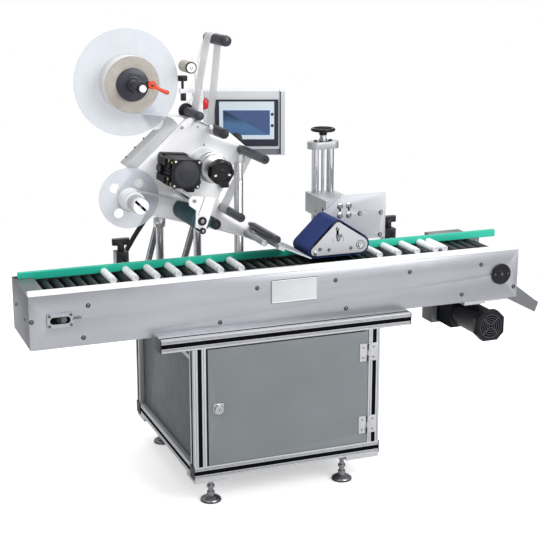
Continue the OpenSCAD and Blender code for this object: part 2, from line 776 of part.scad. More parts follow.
// Posts of the label head with their braces, and the panel's post
post_back = 75;
post_y = conveyor_w + post_back;
head_post_ins = [14, 140];
head_post_xs = [for (i = head_post_ins) cabinet_x + i];
head_post_len = 486.5;
head_post_top = cabinet_top + head_post_len;
head_post_r = head_post_d / 2;
panel_post_in = 297;
panel_post_back = 116;
panel_post_x = cabinet_x + panel_post_in;
panel_post_y = conveyor_w + panel_post_back;
panel_rise = 512;
panel_bottom = cabinet_top + panel_rise;
flange_r = 28;
flange_t = 8;
brace_rise = 316.5;
brace_top = cabinet_top + brace_rise;
brace_w = 16;
module stand_posts() {
    brace_foot_y = cabinet_y1 - profile_w / 2;
    ring_h = 32;
    ring_rim = 6;
    bolt_reach = 14;
    bolt_off = 2;
    bolt_r = 5;
    post_short = 12;
    color("lightgray") in_line() {
        for (x = head_post_xs) {
            translate([x, post_y, cabinet_top]) cylinder(h = head_post_top - cabinet_top, r = head_post_r);
            translate([x, post_y, cabinet_top]) cylinder(h = flange_t, r = flange_r);
            // Clamp ring that holds the brace
            translate([x, post_y, brace_top - ring_h / 2]) cylinder(h = ring_h, r = head_post_r + ring_rim);
            y_rod(x - head_post_r - bolt_off, brace_top, post_y - head_post_r - bolt_reach, post_y, bolt_r);
            // Brace that leans back to the cabinet's rear rail
            brace_dy = brace_foot_y - post_y - head_post_r;
            brace_dz = brace_top - cabinet_top - flange_t;
            brace_len = norm([brace_dy, brace_dz]);
            intersection() {
                translate([x - brace_w / 2, post_y + head_post_r, brace_top])
                    rotate([-atan2(brace_dz, brace_dy), 0, 0])
                        translate([0, -brace_w, -brace_w / 2]) cube([brace_w, brace_len + 2 * brace_w, brace_w]);
                translate([x - flange_r, post_y, cabinet_top])
                    cube([2 * flange_r, cabinet_depth, brace_top - cabinet_top + brace_w]);
            }
            translate([x - flange_r / 2, cabinet_y1 - profile_w, cabinet_top]) cube([flange_r, profile_w, flange_t]);
        }
        translate([panel_post_x, panel_post_y, cabinet_top])
            cylinder(h = panel_bottom - cabinet_top - post_short, d = panel_post_d);
        translate([panel_post_x, panel_post_y, cabinet_top]) cylinder(h = flange_t, r = flange_r + flange_t);
    }
}

// Label head: places as shares of the head plate's width and height
head_left = 144;
head_rise = 61.5;
head_x = cabinet_x - head_left;
head_z = deck_z + head_rise;
head_w = 460;
head_h = 393;
function hx(s) = head_x + head_w * s[0];
function hz(s) = head_z + head_h * s[1];
back_y = head_y + head_t;
plate_shares = [
    [0.4826, 1], [0.7891, 0.8651], [0.8957, 0.7583], [0.8652, 0.7405], [0.7, 0.341], [0.7283, 0.2366],
    [0.9457, 0.0916], [1, 0.0585], [0.913, 0], [0.6978, 0.0865], [0.3761, 0.1985], [0.2587, 0.2366],
    [0.0696, 0.2926], [0, 0.3308], [0, 0.4707], [0.1478, 0.6361], [0.2261, 0.7201], [0.3891, 0.8982]
];
unwind_s = [0.0739, 1.298];
edge_s = [0.4696, 1.407];
roller_shares = [[0.6413, 1.618], [0.4739, 1.061], [0.8674, 0.7303], [0.7283, 0.2723], [0.9522, 0.0967]];
fixed_rod_s = [0.9043, 0.0483];
traction_s = [0.4435, 0.285];
nip_rod_s = [0.3848, 0.4377];
sensor_rod_s = [0.5435, 0.977];
sensor_bar_s = [0.6478, 0.9135];
motor_s = [0.3696, 0.6336];
knob_s = [0.5957, 0.6387];
rewind_s = [0.0696, 0.4046];
peel_s = [1.1957, -0.0763];
roller_rs = [16.4, 13.6, 13.7, 13.3, 12.5];
roller_lens = [174, 151, 212, 176, 211];
edge_r = 17.5;
fixed_rod_r = 10;
sensor_bar_r = 16;
peel_r = 2;
stub_r = 5;
core_r = 31;
web_t = 0.6;
web_off = 13;
web_y1 = head_y - web_off;
web_y = web_y1 - web_w;
nip_angle = -19;
traction_r = traction_d / 2;
pinch_r = pinch_d / 2;
nip_gap = web_t + 2 * soft_gap;
nip_reach = traction_r + pinch_r + nip_gap;
pinch_x = hx(traction_s) + nip_reach * cos(nip_angle);
pinch_z = hz(traction_s) + nip_reach * sin(nip_angle);
roll_r = label_roll_d / 2;

// Web path: centre and radius of each turn, and the way round it (1 is anticlockwise from the front)
loose = soft_gap + web_t / 2;
web_turns = [
    [hx(unwind_s), hz(unwind_s), roll_r + loose, 1],
    [hx(roller_shares[1]), hz(roller_shares[1]), roller_rs[1] + loose, 1],
    [hx(roller_shares[0]), hz(roller_shares[0]), roller_rs[0] + loose, -1],
    [hx(sensor_bar_s), hz(sensor_bar_s), sensor_bar_r + loose, 1],
    [hx(roller_shares[2]), hz(roller_shares[2]), roller_rs[2] + loose, -1],
    [hx(roller_shares[3]), hz(roller_shares[3]), roller_rs[3] + loose, 1],
    [hx(roller_shares[4]), hz(roller_shares[4]), roller_rs[4] + loose, 1],
    [hx(peel_s), hz(peel_s), peel_r + loose, -1],
    [hx(fixed_rod_s), hz(fixed_rod_s), fixed_rod_r + loose, -1],
    [pinch_x, pinch_z, pinch_r + loose, -1],
    [hx(traction_s), hz(traction_s), traction_r + loose, 1],
    [hx(rewind_s), hz(rewind_s), core_r + loose, 1]
];
web_last = len(web_turns) - 1;
function web_dir(i) = let(a = web_turns[i], b = web_turns[i + 1], d = [b[0] - a[0], b[1] - a[1]])
    atan2(d[1], d[0]) + asin(max(-1, min(1, (a[3] * a[2] - b[3] * b[2]) / norm(d))));
function web_at(t, dir, e) = [t[0] + t[3] * (t[2] - t[3] * e) * sin(dir), t[1] - t[3] * (t[2] - t[3] * e) * cos(dir)];
function positive(a) = a - 360 * floor(a / 360);
web_step = 15;
function web_arc(i, e) = let(
        t = web_turns[i],
        a = i == 0 ? web_dir(0) : web_dir(i - 1),
        turn = i == 0 || i == web_last ? 0 : positive(t[3] * (web_dir(i) - a)),
        n = max(1, ceil(turn / web_step))
    ) i == 0 || i == web_last ? [web_at(t, a, e)] : [for (k = [0:n]) web_at(t, a + t[3] * turn * k / n, e)];
function web_side(e) = [for (i = [0:web_last]) each web_arc(i, e)];
function backwards(v) = [for (i = [len(v) - 1:-1:0]) v[i]];

module label_web() {
    color("whitesmoke") in_line() xz_plate(web_y, web_w)
        polygon(concat(web_side(web_t / 2), backwards(web_side(-web_t / 2))));
}

module stub_bore(s, y, y1, r) {
    y_rod(hx(s), hz(s), y - over, y1 + over, r + run_gap);
}

// Head plate with the bores of the rollers it carries
module head_plate() {
    screw_shares = [[0.45, 0.93], [0.56, 0.93], [0.6, 0.785]];
    head_screw_r = 6;
    color("whitesmoke") in_line() {
        difference() {
            xz_plate(head_y, head_t) polygon([for (s = plate_shares) [hx(s), hz(s)]]);
            for (i = [2, 3]) stub_bore(roller_shares[i], head_y, back_y, stub_r);
            stub_bore(traction_s, head_y, back_y, stub_r);
            stub_bore(rewind_s, head_y, back_y, hub_shaft_r);
            y_rod(pinch_x, pinch_z, head_y - over, back_y + over, stub_r + run_gap);
            stub_bore(roller_shares[4], head_y, back_y, stub_r);
        }
        for (s = screw_shares) y_rod(hx(s), hz(s), head_y - screw_h, head_y, head_screw_r);
        // Clamp blocks behind the plate that grip the two posts
        for (x = head_post_xs) difference() {
            translate([x - clamp_half, back_y, head_clamp_z])
                cube([2 * clamp_half, post_y + head_post_r + clamp_wall - back_y, head_clamp_h]);
            translate([x, post_y, head_clamp_z - over])
                cylinder(h = head_clamp_h + 2 * over, r = head_post_r);
        }
    }
}
hub_shaft_r = 10;
clamp_half = 32;
clamp_wall = 12;
head_clamp_rise = 120;
head_clamp_z = head_z + head_clamp_rise;
head_clamp_h = 60;

// Channel behind the plate's upper left edge
channel_w = 84;
channel_d = 60;
channel_len = 205;
channel_wall = 4;
channel_angle = 41.5;
channel_s = [0.06, 0.655];
module head_channel() {
    color("silver") in_line() translate([hx(channel_s), 0, hz(channel_s)]) rotate([0, -channel_angle, 0])
        difference() {
            translate([0, back_y, -channel_w]) cube([channel_len, channel_d, channel_w]);
            translate([-over, back_y + channel_wall, channel_wall - channel_w])
                cube([channel_len + 2 * over, channel_d, channel_w - 2 * channel_wall]);
        }
}

// Flat bar with round ends from share a to share b, as an outline in X and Z
bar_end_share = 1.12;
module bar_outline(a, b, w) {
    d = [hx(b) - hx(a), hz(b) - hz(a)];
    translate([hx(a), hz(a)]) rotate(atan2(d[1], d[0])) translate([0, -w / 2]) square([norm(d), w]);
    for (s = [a, b]) translate([hx(s), hz(s)]) circle(d = w * bar_end_share);
}

// Arms that carry the unwind hub and the upper rollers
arm_w = 44;
bar_w = 22;
lug_t = 8;
reel_foot_s = [0.27, 0.985];
elbow_s = [0.575, 1.37];
lug_s = [0.58, 1.15];
stay_s = [0.44, 1.214];
stay_h = 13;
module reel_arms() {
    stay_t = 20;
    wide_share = 1.2;
    plate_join_s = [lug_s[0], 0.93];
    color("white") in_line() difference() {
        union() {
            xz_plate(head_y, head_t) bar_outline(unwind_s, reel_foot_s, arm_w);
            xz_plate(head_y, head_t) {
                bar_outline(lug_s, elbow_s, bar_w);
                bar_outline(elbow_s, roller_shares[0], bar_w);
                bar_outline(elbow_s, edge_s, bar_w);
            }
            xz_plate(back_y, lug_t) {
                bar_outline(roller_shares[1], lug_s, bar_w * wide_share);
                bar_outline(plate_join_s, lug_s, bar_w * wide_share);
            }
            translate([hx(stay_s), head_y + head_t - stay_t, hz(stay_s) - stay_h / 2])
                cube([hx(lug_s) - hx(stay_s), stay_t, stay_h]);
        }
        stub_bore(unwind_s, head_y, back_y, hub_shaft_r);
        stub_bore(edge_s, head_y, back_y, stub_r);
        stub_bore(roller_shares[0], head_y, back_y, stub_r);
        stub_bore(roller_shares[1], back_y, back_y + lug_t, stub_r);
    }
}

// Roller with its shaft in the plate and a collar behind it
module idler(s, r, y, y1) {
    collar_w = 4;
    collar_rim = 4;
    back = 8.5;
    y_rod(hx(s), hz(s), y, y1 - soft_gap * 2, r);
    y_rod(hx(s), hz(s), y1 - soft_gap * 2 - sink, back_y + back + collar_w, stub_r);
    y_rod(hx(s), hz(s), back_y + back, back_y + back + collar_w, stub_r + collar_rim);
}
module guide_roller(i) {
    color("dimgray") in_line() idler(roller_shares[i], roller_rs[i], head_y - roller_lens[i], head_y);
}
module guide_roller_1() { guide_roller(0); }
module guide_roller_2() {
    ring_y = web_y1 + 2 * sink;
    ring_w = 4;
    ring_rim = 10;
    guide_roller(1);
    color("dimgray") in_line() translate([hx(roller_shares[1]), 0, hz(roller_shares[1])])
        y_rod(0, 0, ring_y, ring_y + ring_w, roller_rs[1] + ring_rim);
}
module guide_roller_3() { guide_roller(2); }
module guide_roller_4() { guide_roller(3); }
module guide_roller_5() { guide_roller(4); }
edge_past = 2;
module edge_roller() { color("white") in_line() idler(edge_s, edge_r, web_y - edge_past, head_y); }
nip_reach_y = 190;
nip_y = head_y - nip_reach_y;
nip_t = 6;
module traction_roller() {
    color("darkslategray") in_line() {
        idler(traction_s, traction_r, nip_y, head_y);
        y_rod(hx(traction_s), hz(traction_s), nip_y - nip_t, nip_y + sink, stub_r);
    }
}
module pinch_roller() {
    collar_w = 4;
    collar_rim = 4;
    collar_off = 8;
    color("#26282c") in_line() {
        y_rod(pinch_x, pinch_z, nip_y, head_y - 2 * soft_gap, pinch_r);
        y_rod(pinch_x, pinch_z, head_y - sink, back_y + collar_off + collar_w, stub_r);
        y_rod(pinch_x, pinch_z, back_y + collar_off, back_y + collar_off + collar_w, stub_r + collar_rim);
    }
}

// Front bracket of the nip with the rod that carries it
module nip_bracket() {
    nip_shares = [
        [0.375, 0.485], [0.54, 0.458], [0.475, 0.235], [0.455, 0.19], [0.41, 0.2], [0.395, 0.24], [0.405, 0.37], [0.36, 0.41], [0.355, 0.45]
    ];
    nip_screw_shares = [[0.443, 0.211]];
    nip_rod_r = 6;
    nip_screw_r = 5;
    color("white") in_line() {
        difference() {
            xz_plate(nip_y - nip_t - soft_gap, nip_t) polygon([for (s = nip_shares) [hx(s), hz(s)]]);
            stub_bore(traction_s, nip_y - nip_t, nip_y, stub_r);
        }
        y_rod(hx(nip_rod_s), hz(nip_rod_s), nip_y - nip_t, head_y, nip_rod_r);
        for (s = nip_screw_shares) y_rod(hx(s), hz(s), nip_y - nip_t - screw_h, nip_y - nip_t, nip_screw_r);
    }
}

// Motor on the plate, turned a little
module head_motor() {
    tilt = 5;
    cap_r = 40;
    cap_h = 5;
    disc_h = 2;
    disc_share = 0.62;
    rib_d = 12;
    rib_h = 24;
    rib_shares = [-0.28, 0.28];
    rib_from_share = 0.8;
    rib_len_share = 0.6;
    front_y = head_y - head_motor_len;
    rib_y = head_y - head_motor_len * rib_from_share;
    color("#1c1d22") in_line() translate([hx(motor_s), 0, hz(motor_s)]) rotate([0, tilt, 0]) {
        translate([-head_motor_w / 2, front_y, -head_motor_w / 2]) cube([head_motor_w, head_motor_len, head_motor_w]);
        y_rod(0, 0, front_y - cap_h, front_y, cap_r);
        y_rod(0, 0, front_y - cap_h - disc_h, front_y - cap_h, cap_r * disc_share);
        for (s = rib_shares)
            translate([-head_motor_w / 2 - rib_d, rib_y, head_motor_w * s - rib_h / 2])
                cube([rib_d, head_motor_len * rib_len_share, rib_h]);
    }
}

knob_reach = 110;
knob_front = head_y - knob_reach;
knob_bore = 40;
module knob_hub() {
    knob_hub_r = 47.5;
    color("gray") in_line() difference() {
        y_rod(hx(knob_s), hz(knob_s), knob_front, head_y, knob_hub_r);
        y_rod(hx(knob_s), hz(knob_s), knob_front - over, knob_front + knob_bore, stub_r + run_gap);
    }
}

// Lobed knob on its shaft
module star_knob() {
    star_r = 33;
    lobe_r = 9;
    lobes = 6;
    star_off = 75;
    star_t = 40;
    lobe_share = 0.7;
    bore_play = 2;
    star_y = knob_front - star_off;
    color("#16171b") in_line() {
        y_rod(hx(knob_s), hz(knob_s), star_y, star_y + star_t, star_r);
        y_rod(hx(knob_s), hz(knob_s), star_y + star_t, knob_front + knob_bore - bore_play, stub_r);
        y_rod(hx(knob_s), hz(knob_s), star_y + star_t, knob_front - soft_gap, stub_r * 3);
        for (a = [0:360 / lobes:359]) translate([star_r * cos(a), 0, star_r * sin(a)])
            y_rod(hx(knob_s), hz(knob_s), star_y, star_y + star_t * lobe_share, lobe_r);
    }
}

// Thin sloping blade over the tubes, with the fixed rod beside its root
module peel_plate() {
    a = web_dir(6);
    blade_len = 116;
    blade_w = 212;
    root_len = 22;
    root_t = 9;
    root_drop = 8;
    fixed_rod_len = 163;
    blade_y = head_y - blade_w;
    color("whitesmoke") in_line() {
        translate([hx(peel_s), 0, hz(peel_s)]) rotate([0, -a, 0]) {
            y_rod(0, 0, blade_y, head_y, peel_r);
            translate([-blade_len, blade_y, -peel_r]) cube([blade_len, blade_w, 2 * peel_r]);
            translate([-blade_len, blade_y, -peel_r - root_drop]) cube([root_len, blade_w, root_t]);
        }
        y_rod(hx(fixed_rod_s), hz(fixed_rod_s), head_y - fixed_rod_len, head_y, fixed_rod_r);
    }
}

// Sensor rod with its knob, the dark bar over which the web runs, and the cable loop
module label_sensor() {
    rod_r = 5;
    rod_len = 152;
    bar_len = 112;
    bar_off = 23;
    bar_neck_r = 10;
    block_s = [0.71, 0.44];
    block_w = 24;
    block_h = 18;
    eighth = 22.5;
    color("#26282c") in_line() {
        y_rod(hx(sensor_rod_s), hz(sensor_rod_s), head_y - rod_len, head_y, rod_r);
        translate([hx(sensor_bar_s), head_y - bar_off - bar_len, hz(sensor_bar_s)]) rotate([-90, eighth, 0])
            cylinder(h = bar_len, r = sensor_bar_r, $fn = 8);
        y_rod(hx(sensor_bar_s), hz(sensor_bar_s), head_y - bar_off - 2 * sink, head_y, bar_neck_r);
        translate([hx(block_s), head_y - block_w, hz(block_s)]) cube([block_w, block_w, block_h]);
    }
}

// Black screw knobs on the arms and at the plate's right tip
module head_knobs() {
    stud_in = 9;
    stud_r = 4;
    stud_len = 30;
    cap_r = 15;
    cap_h = 16;
    block_in = 4;
    block_w = 14;
    block_d = 16;
    block_h = 23.5;
    tip_s = [0.87, 0.8];
    tip_r = 9;
    tip_len = 26;
    tip_cap_r = 18;
    tip_cap_h = 14;
    stud_x = hx(stay_s) + stud_in;
    stud_z = hz(stay_s) + stay_h / 2;
    color("#16171b") in_line() {
        // Clamp knob on a stud above the stay
        translate([stud_x, head_y, stud_z]) cylinder(h = stud_len, r = stud_r);
        translate([stud_x, head_y, stud_z + stud_len - stay_h / 2]) cylinder(h = cap_h, r = cap_r);
        // Dark block under the stay
        translate([hx(stay_s) + block_in, head_y - block_d / 2, hz(stay_s) - stay_h / 2 - block_h])
            cube([block_w, block_d, block_h]);
        y_rod(hx(tip_s), hz(tip_s), back_y, back_y + tip_len, tip_r);
        y_rod(hx(tip_s), hz(tip_s), back_y + tip_len, back_y + tip_len + tip_cap_h, tip_cap_r);
    }
}

// Unwind hub: shaft, core for the roll, front disc, clamp collar and its ear
hub_pin_s = [0.141, 1.318];
hub_core_r = 38;
disc_t = 5;
ear_reach = 168;
ear_y = head_y - ear_reach;
module unwind_hub() {
    spindle_reach = 192;
    spindle_past = 10;
    back_step = 1;
    back_rim = 8;
    back_w = 7;
    flange_r = 49;
    flange_w = 6;
    flange_off = 2;
    collar_r = 20;
    collar_w = 30;
    seat_r = 26;
    ear_len = 32;
    ear_t = 12;
    ear_h = 16;
    pin_back = 16;
    pin_in = 8;
    hub_pin_r = 4;
    x = hx(unwind_s);
    z = hz(unwind_s);
    color("#26282c") in_line() {
        y_rod(x, z, head_y - spindle_reach, back_y + spindle_past, hub_shaft_r);
        y_rod(x, z, back_y + back_step, back_y + back_step + back_w, hub_shaft_r + back_rim);
        y_rod(x, z, web_y - flange_off - flange_w, web_y - flange_off, flange_r);
        y_rod(x, z, web_y - flange_off, web_y1 + disc_off, hub_core_r);
        y_rod(x, z, ear_y, ear_y + collar_w, collar_r);
        y_rod(x, z, web_y1 + disc_off + disc_t, head_y - back_step, seat_r);
        translate([x, ear_y, z]) cube([ear_len, ear_t, ear_h]);
        y_rod(hx(hub_pin_s), hz(hub_pin_s), ear_y - pin_back, ear_y + pin_in, hub_pin_r);
    }
}
disc_off = 1;
module unwind_disc() {
    color("aliceblue", 0.6) in_line() difference() {
        y_rod(hx(unwind_s), hz(unwind_s), web_y1 + disc_off, web_y1 + disc_off + disc_t, unwind_disc_d / 2);
        y_rod(hx(unwind_s), hz(unwind_s), web_y1 + disc_off - over, web_y1 + disc_off + disc_t + over, hub_shaft_r);
    }
}
module label_roll() {
    color("tan") in_line() difference() {
        y_rod(hx(unwind_s), hz(unwind_s), web_y - disc_off, web_y1 + disc_off, roll_r);
        y_rod(hx(unwind_s), hz(unwind_s), web_y - disc_off - over, web_y1 + disc_off + over, hub_core_r);
    }
}
module hub_lever() {
    boss_r = 12;
    boss_w = 13;
    lever_len = 50;
    lever_w = 9;
    lever_h = 10;
    lever_angle = 27;
    tip_r = 7;
    bore_r = 4;
    color("orangered") in_line() translate([hx(hub_pin_s), 0, hz(hub_pin_s)]) difference() {
        union() {
            y_rod(0, 0, ear_y - boss_w, ear_y - run_gap, boss_r);
            rotate([0, lever_angle, 0]) {
                translate([0, ear_y - boss_w, -lever_h / 2]) cube([lever_len, lever_w, lever_h]);
                y_rod(lever_len, 0, ear_y - boss_w, ear_y - boss_w + lever_w, tip_r);
            }
        }
        y_rod(0, 0, ear_y - boss_w - over, ear_y + over, bore_r + run_gap);
    }
}

// Rewind hub with its holed disc and the slotted front knob
module rewind_reel() {
    hole_r = 15.5;
    hole_at = 55.5;
    hole_turn = 53;
    disc_from = 2;
    disc_w = 4;
    core_past = 6;
    knob_r = 23;
    knob_reach = 148;
    slot_w = 4;
    slot_deep = 7;
    back_step = 1;
    back_w = 9;
    back_rim = 8;
    back_past = 12;
    knob_y = head_y - knob_reach;
    x = hx(rewind_s);
    z = hz(rewind_s);
    color("aliceblue") in_line() {
        translate([x, 0, z]) difference() {
            y_rod(0, 0, web_y1 + disc_from, web_y1 + disc_from + disc_w, rewind_disc_d / 2);
            for (a = [hole_turn:90:359]) translate([hole_at * cos(a), 0, hole_at * sin(a)])
                y_rod(0, 0, web_y1 + disc_from - over, web_y1 + disc_from + disc_w + over, hole_r);
        }
        y_rod(x, z, web_y - core_past, web_y1 + disc_from + sink, core_r);
        translate([x, 0, z]) difference() {
            y_rod(0, 0, knob_y, web_y - core_past + sink, knob_r);
            rotate([0, 45, 0]) translate([-knob_r - over, knob_y - over, -slot_w / 2])
                cube([2 * knob_r + 2 * over, slot_deep + over, slot_w]);
        }
        y_rod(x, z, web_y1, back_y + back_past, hub_shaft_r);
        y_rod(x, z, back_y + back_step, back_y + back_step + back_w, hub_shaft_r + back_rim);
    }
}

// Ribbed hose from the head down to the cabinet top
hose_r = 8;
hose_groove_r = 6.8;
hose_bore_r = 5;
hose_sides = 8;
rib_pitch = 9;
hose_route = [
    [110, 262, 884], [103, 268, 866], [65, 310, 786], [34, 342, 706], [34, 348, 640],
    [72, 352, 590], [132, 360, 566], [178, 368, 552], [193, 372, 537], [194, 372, 525], [194, 372, 514]
];
function along(p, i, t) = let(
        a = p[max(0, i - 1)], b = p[i], c = p[i + 1], d = p[min(len(p) - 1, i + 2)]
    ) 0.5 * (2 * b + (c - a) * t + (2 * a - 5 * b + 4 * c - d) * t * t + (3 * b - a - 3 * c + d) * t * t * t);
function route_points(p, pitch) = [
    for (i = [0:len(p) - 2]) let(n = max(1, round(norm(p[i + 1] - p[i]) / pitch)))
        for (k = [0:n - 1]) along(p, i, k / n),
    p[len(p) - 1]
];
function unit(v) = v / norm(v);
function heading(q, i) = unit(q[min(len(q) - 1, i + 1)] - q[max(0, i - 1)]);
function sides_of(q, i, u) = let(h = heading(q, i), v = unit(u - h * (u * h)))
    i == len(q) - 1 ? [v] : concat([v], sides_of(q, i + 1, v));
function ring(c, h, u, r, n) = let(w = cross(h, u))
    [for (k = [0:n - 1]) c + r * (cos(360 * k / n) * u + sin(360 * k / n) * w)];

module hollow_sweep(q, radii, bore, n) {
    us = sides_of(q, 0, [1, 0, 0]);
    m = len(q);
    outer = [for (i = [0:m - 1]) each ring(q[i], heading(q, i), us[i], radii[i], n)];
    inner = [for (i = [0:m - 1]) each ring(q[i], heading(q, i), us[i], bore, n)];
    wall = [
        for (i = [0:m - 2], k = [0:n - 1]) let(j = (k + 1) % n) [i * n + k, (i + 1) * n + k, (i + 1) * n + j, i * n + j]
    ];
    hole = [for (i = [0:m - 2], k = [0:n - 1]) let(j = (k + 1) % n, o = m * n)
        [o + i * n + k, o + i * n + j, o + (i + 1) * n + j, o + (i + 1) * n + k]];
    ends = [for (e = [0, m - 1], k = [0:n - 1]) let(j = (k + 1) % n, o = m * n)
        e == 0 ? [k, j, o + j, o + k] : [e * n + k, o + e * n + k, o + e * n + j, e * n + j]];
    polyhedron(concat(outer, inner), concat(wall, hole, ends), convexity = 10);
}

module machine_hose() {
    q = route_points(hose_route, rib_pitch / 2);
    color("#111216") in_line() translate([head_x, 0, 0])
        hollow_sweep(q, [for (i = [0:len(q) - 1]) i % 2 == 0 ? hose_r : hose_groove_r], hose_bore_r, hose_sides);
}

// Press unit: lift columns, carriage and belt
press_past = 749;
press_back = 135;
press_x = head_x + press_past;
press_y = conveyor_w + press_back;
press_top = cabinet_top + column_h;
column_r = column_d / 2;
screw_lead_r = 5.5;
base_t = 8;
crown_t = 24;
module press_frame() {
    base_w = 120;
    base_d = 80;
    crown_r = 27.5;
    color("silver") in_line() {
        difference() {
            union() {
                translate([press_x - base_w / 2, press_y - base_d / 2, cabinet_top]) cube([base_w, base_d, base_t]);
                for (s = [-1, 1]) translate([press_x + s * column_gap / 2, press_y, cabinet_top])
                    cylinder(h = column_h, r = column_r);
                translate([press_x - column_gap / 2, press_y - crown_r, press_top])
                    cube([column_gap, 2 * crown_r, crown_t]);
                for (s = [-1, 1]) translate([press_x + s * column_gap / 2, press_y, press_top])
                    cylinder(h = crown_t, r = crown_r);
            }
            translate([press_x, press_y, cabinet_top + base_t / 2])
                cylinder(h = column_h + 2 * crown_t, r = screw_lead_r + run_gap);
        }
    }
}
module press_screw() {
    wheel_r = handwheel_d / 2;
    wheel_rise = 36;
    rim_r = 6;
    hub_r = 13;
    hub_h = 16;
    collar_r = 14;
    foot_gap = 1;
    wheel_z = press_top + crown_t + wheel_rise;
    foot_z = cabinet_top + base_t / 2 + foot_gap;
    color("dimgray") in_line() translate([press_x, press_y, 0]) {
        translate([0, 0, foot_z]) cylinder(h = wheel_z + rim_r - foot_z, r = screw_lead_r);
        translate([0, 0, press_top + crown_t + soft_gap]) cylinder(h = collar_r, r = collar_r);
        translate([0, 0, wheel_z - hub_h]) cylinder(h = hub_h, r = hub_r);
        // Dished wheel with a round rim
        translate([0, 0, wheel_z - hub_h / 2]) cylinder(h = hub_h / 2, r1 = hub_r, r2 = wheel_r - rim_r);
        translate([0, 0, wheel_z]) rotate_extrude() translate([wheel_r - rim_r, 0]) circle(r = rim_r, $fn = 24);
    }
}

// Belt rollers, left, right and top, placed from the tubes' tops
belt_clear = 2;
belt_y1 = guide_y - belt_clear;
belt_y = belt_y1 - belt_w;
belt_over_tube = 0.4;
belt_z = tube_z + tube_r + belt_over_tube;
belt_rs = [30, 19, 19];
// Places of the belt rollers from the lift columns' middle, and the top one's height over the tubes
belt_places = [2, -154, -76];
belt_top_rise = 97;
belt_offset = belt_t + soft_gap;
belt_at = [
    [press_x + belt_places[0], belt_z + belt_offset + belt_rs[0]],
    [press_x + belt_places[1], belt_z + belt_offset + belt_rs[1]],
    [press_x + belt_places[2], belt_z + belt_top_rise]
];
side_back = 12;
side_y = guide_y + side_back;
side_w = 10;
tri_t = 3;
drive_rim = 3;
carriage_rise = 91.5;
carriage_z = deck_z + carriage_rise;
carriage_h = 67;
carriage_half = 50;
module press_carriage() {
    side_points = [[2, 173.5], [162, 172.5], [161, 22], [-116, 22], [-94, 96.5], [-62, 122.5]];
    clamp_screw_xs = [-4, 28];
    clamp_screw_shares = [0.25, 0.72];
    clamp_screw_r = 6.3;
    clamp_screw_h = 4;
    side_screws = [[68, 110], [145, 108], [143, 33]];
    side_screw_r = 5.4;
    carriage_past = 30;
    color("silver") in_line() {
        difference() {
            union() {
                xz_plate(side_y, side_w) polygon([for (p = side_points) [press_x + p[0], deck_z + p[1]]]);
                translate([press_x - carriage_half, side_y + side_w, carriage_z])
                    cube([2 * carriage_half, press_y + carriage_past - side_y - side_w, carriage_h]);
            }
            for (s = [-1, 1]) translate([press_x + s * column_gap / 2, press_y, carriage_z - over])
                cylinder(h = carriage_h + 2 * over, r = column_r + run_gap);
            translate([press_x, press_y, carriage_z - over])
                cylinder(h = carriage_h + 2 * over, r = screw_lead_r + run_gap);
            y_rod(belt_at[0][0], belt_at[0][1], side_y - over, side_y + side_w + over, stub_r + drive_rim + run_gap);
        }
        for (x = clamp_screw_xs, s = clamp_screw_shares)
            y_rod(press_x + x, carriage_z + carriage_h * s, side_y - clamp_screw_h, side_y, clamp_screw_r);
        for (p = side_screws)
            y_rod(press_x + p[0], deck_z + p[1], side_y - screw_h, side_y, side_screw_r);
    }
}
// Loop of three arcs and straights round the belt rollers, e outside their radii
module belt_outline(e) {
    hull() for (i = [0:2]) translate(belt_at[i]) circle(r = belt_rs[i] + e, $fn = 48);
}
module press_belt() {
    color("mediumblue") in_line() xz_plate(belt_y, belt_w) difference() {
        belt_outline(belt_offset);
        belt_outline(soft_gap);
    }
}
// Triangular side plates of the belt unit with their tie rods and spacers
tri_gap = 3;
tie_places = [[-100, 44], [-64, 44], [-36, 66]];
module belt_plates() {
    tri_e = -5;
    tie_r = 5;
    tie_past = 2;
    back_gap = 0.5;
    color("gainsboro") in_line() {
        for (y = [belt_y - tri_gap - tri_t, belt_y1 + back_gap]) difference() {
            xz_plate(y, tri_t) belt_outline(tri_e);
            y_rod(belt_at[0][0], belt_at[0][1], y - over, y + tri_t + over, stub_r + drive_rim + run_gap);
            for (i = [1, 2]) y_rod(belt_at[i][0], belt_at[i][1], y - over, y + tri_t + over, stub_r + run_gap);
        }
        for (p = tie_places)
            y_rod(press_x + p[0], belt_z + p[1], belt_y - tri_gap - tri_t - tie_past, side_y, tie_r);
    }
}
module belt_roller(i, r) {
    end_gap = 1;
    shaft_past = 4;
    back_end = i == 0 ? side_y + side_w + shaft_past : belt_y1 + tri_t + shaft_past;
    color("dimgray") in_line() {
        y_rod(belt_at[i][0], belt_at[i][1], belt_y + end_gap, belt_y1 - end_gap, belt_rs[i]);
        y_rod(belt_at[i][0], belt_at[i][1], belt_y - tri_gap - tri_t - shaft_past, back_end, r);
    }
}
module press_roller_drive() { belt_roller(0, stub_r + drive_rim); }
module press_roller_front() { belt_roller(1, stub_r); }
module press_roller_top() { belt_roller(2, stub_r); }

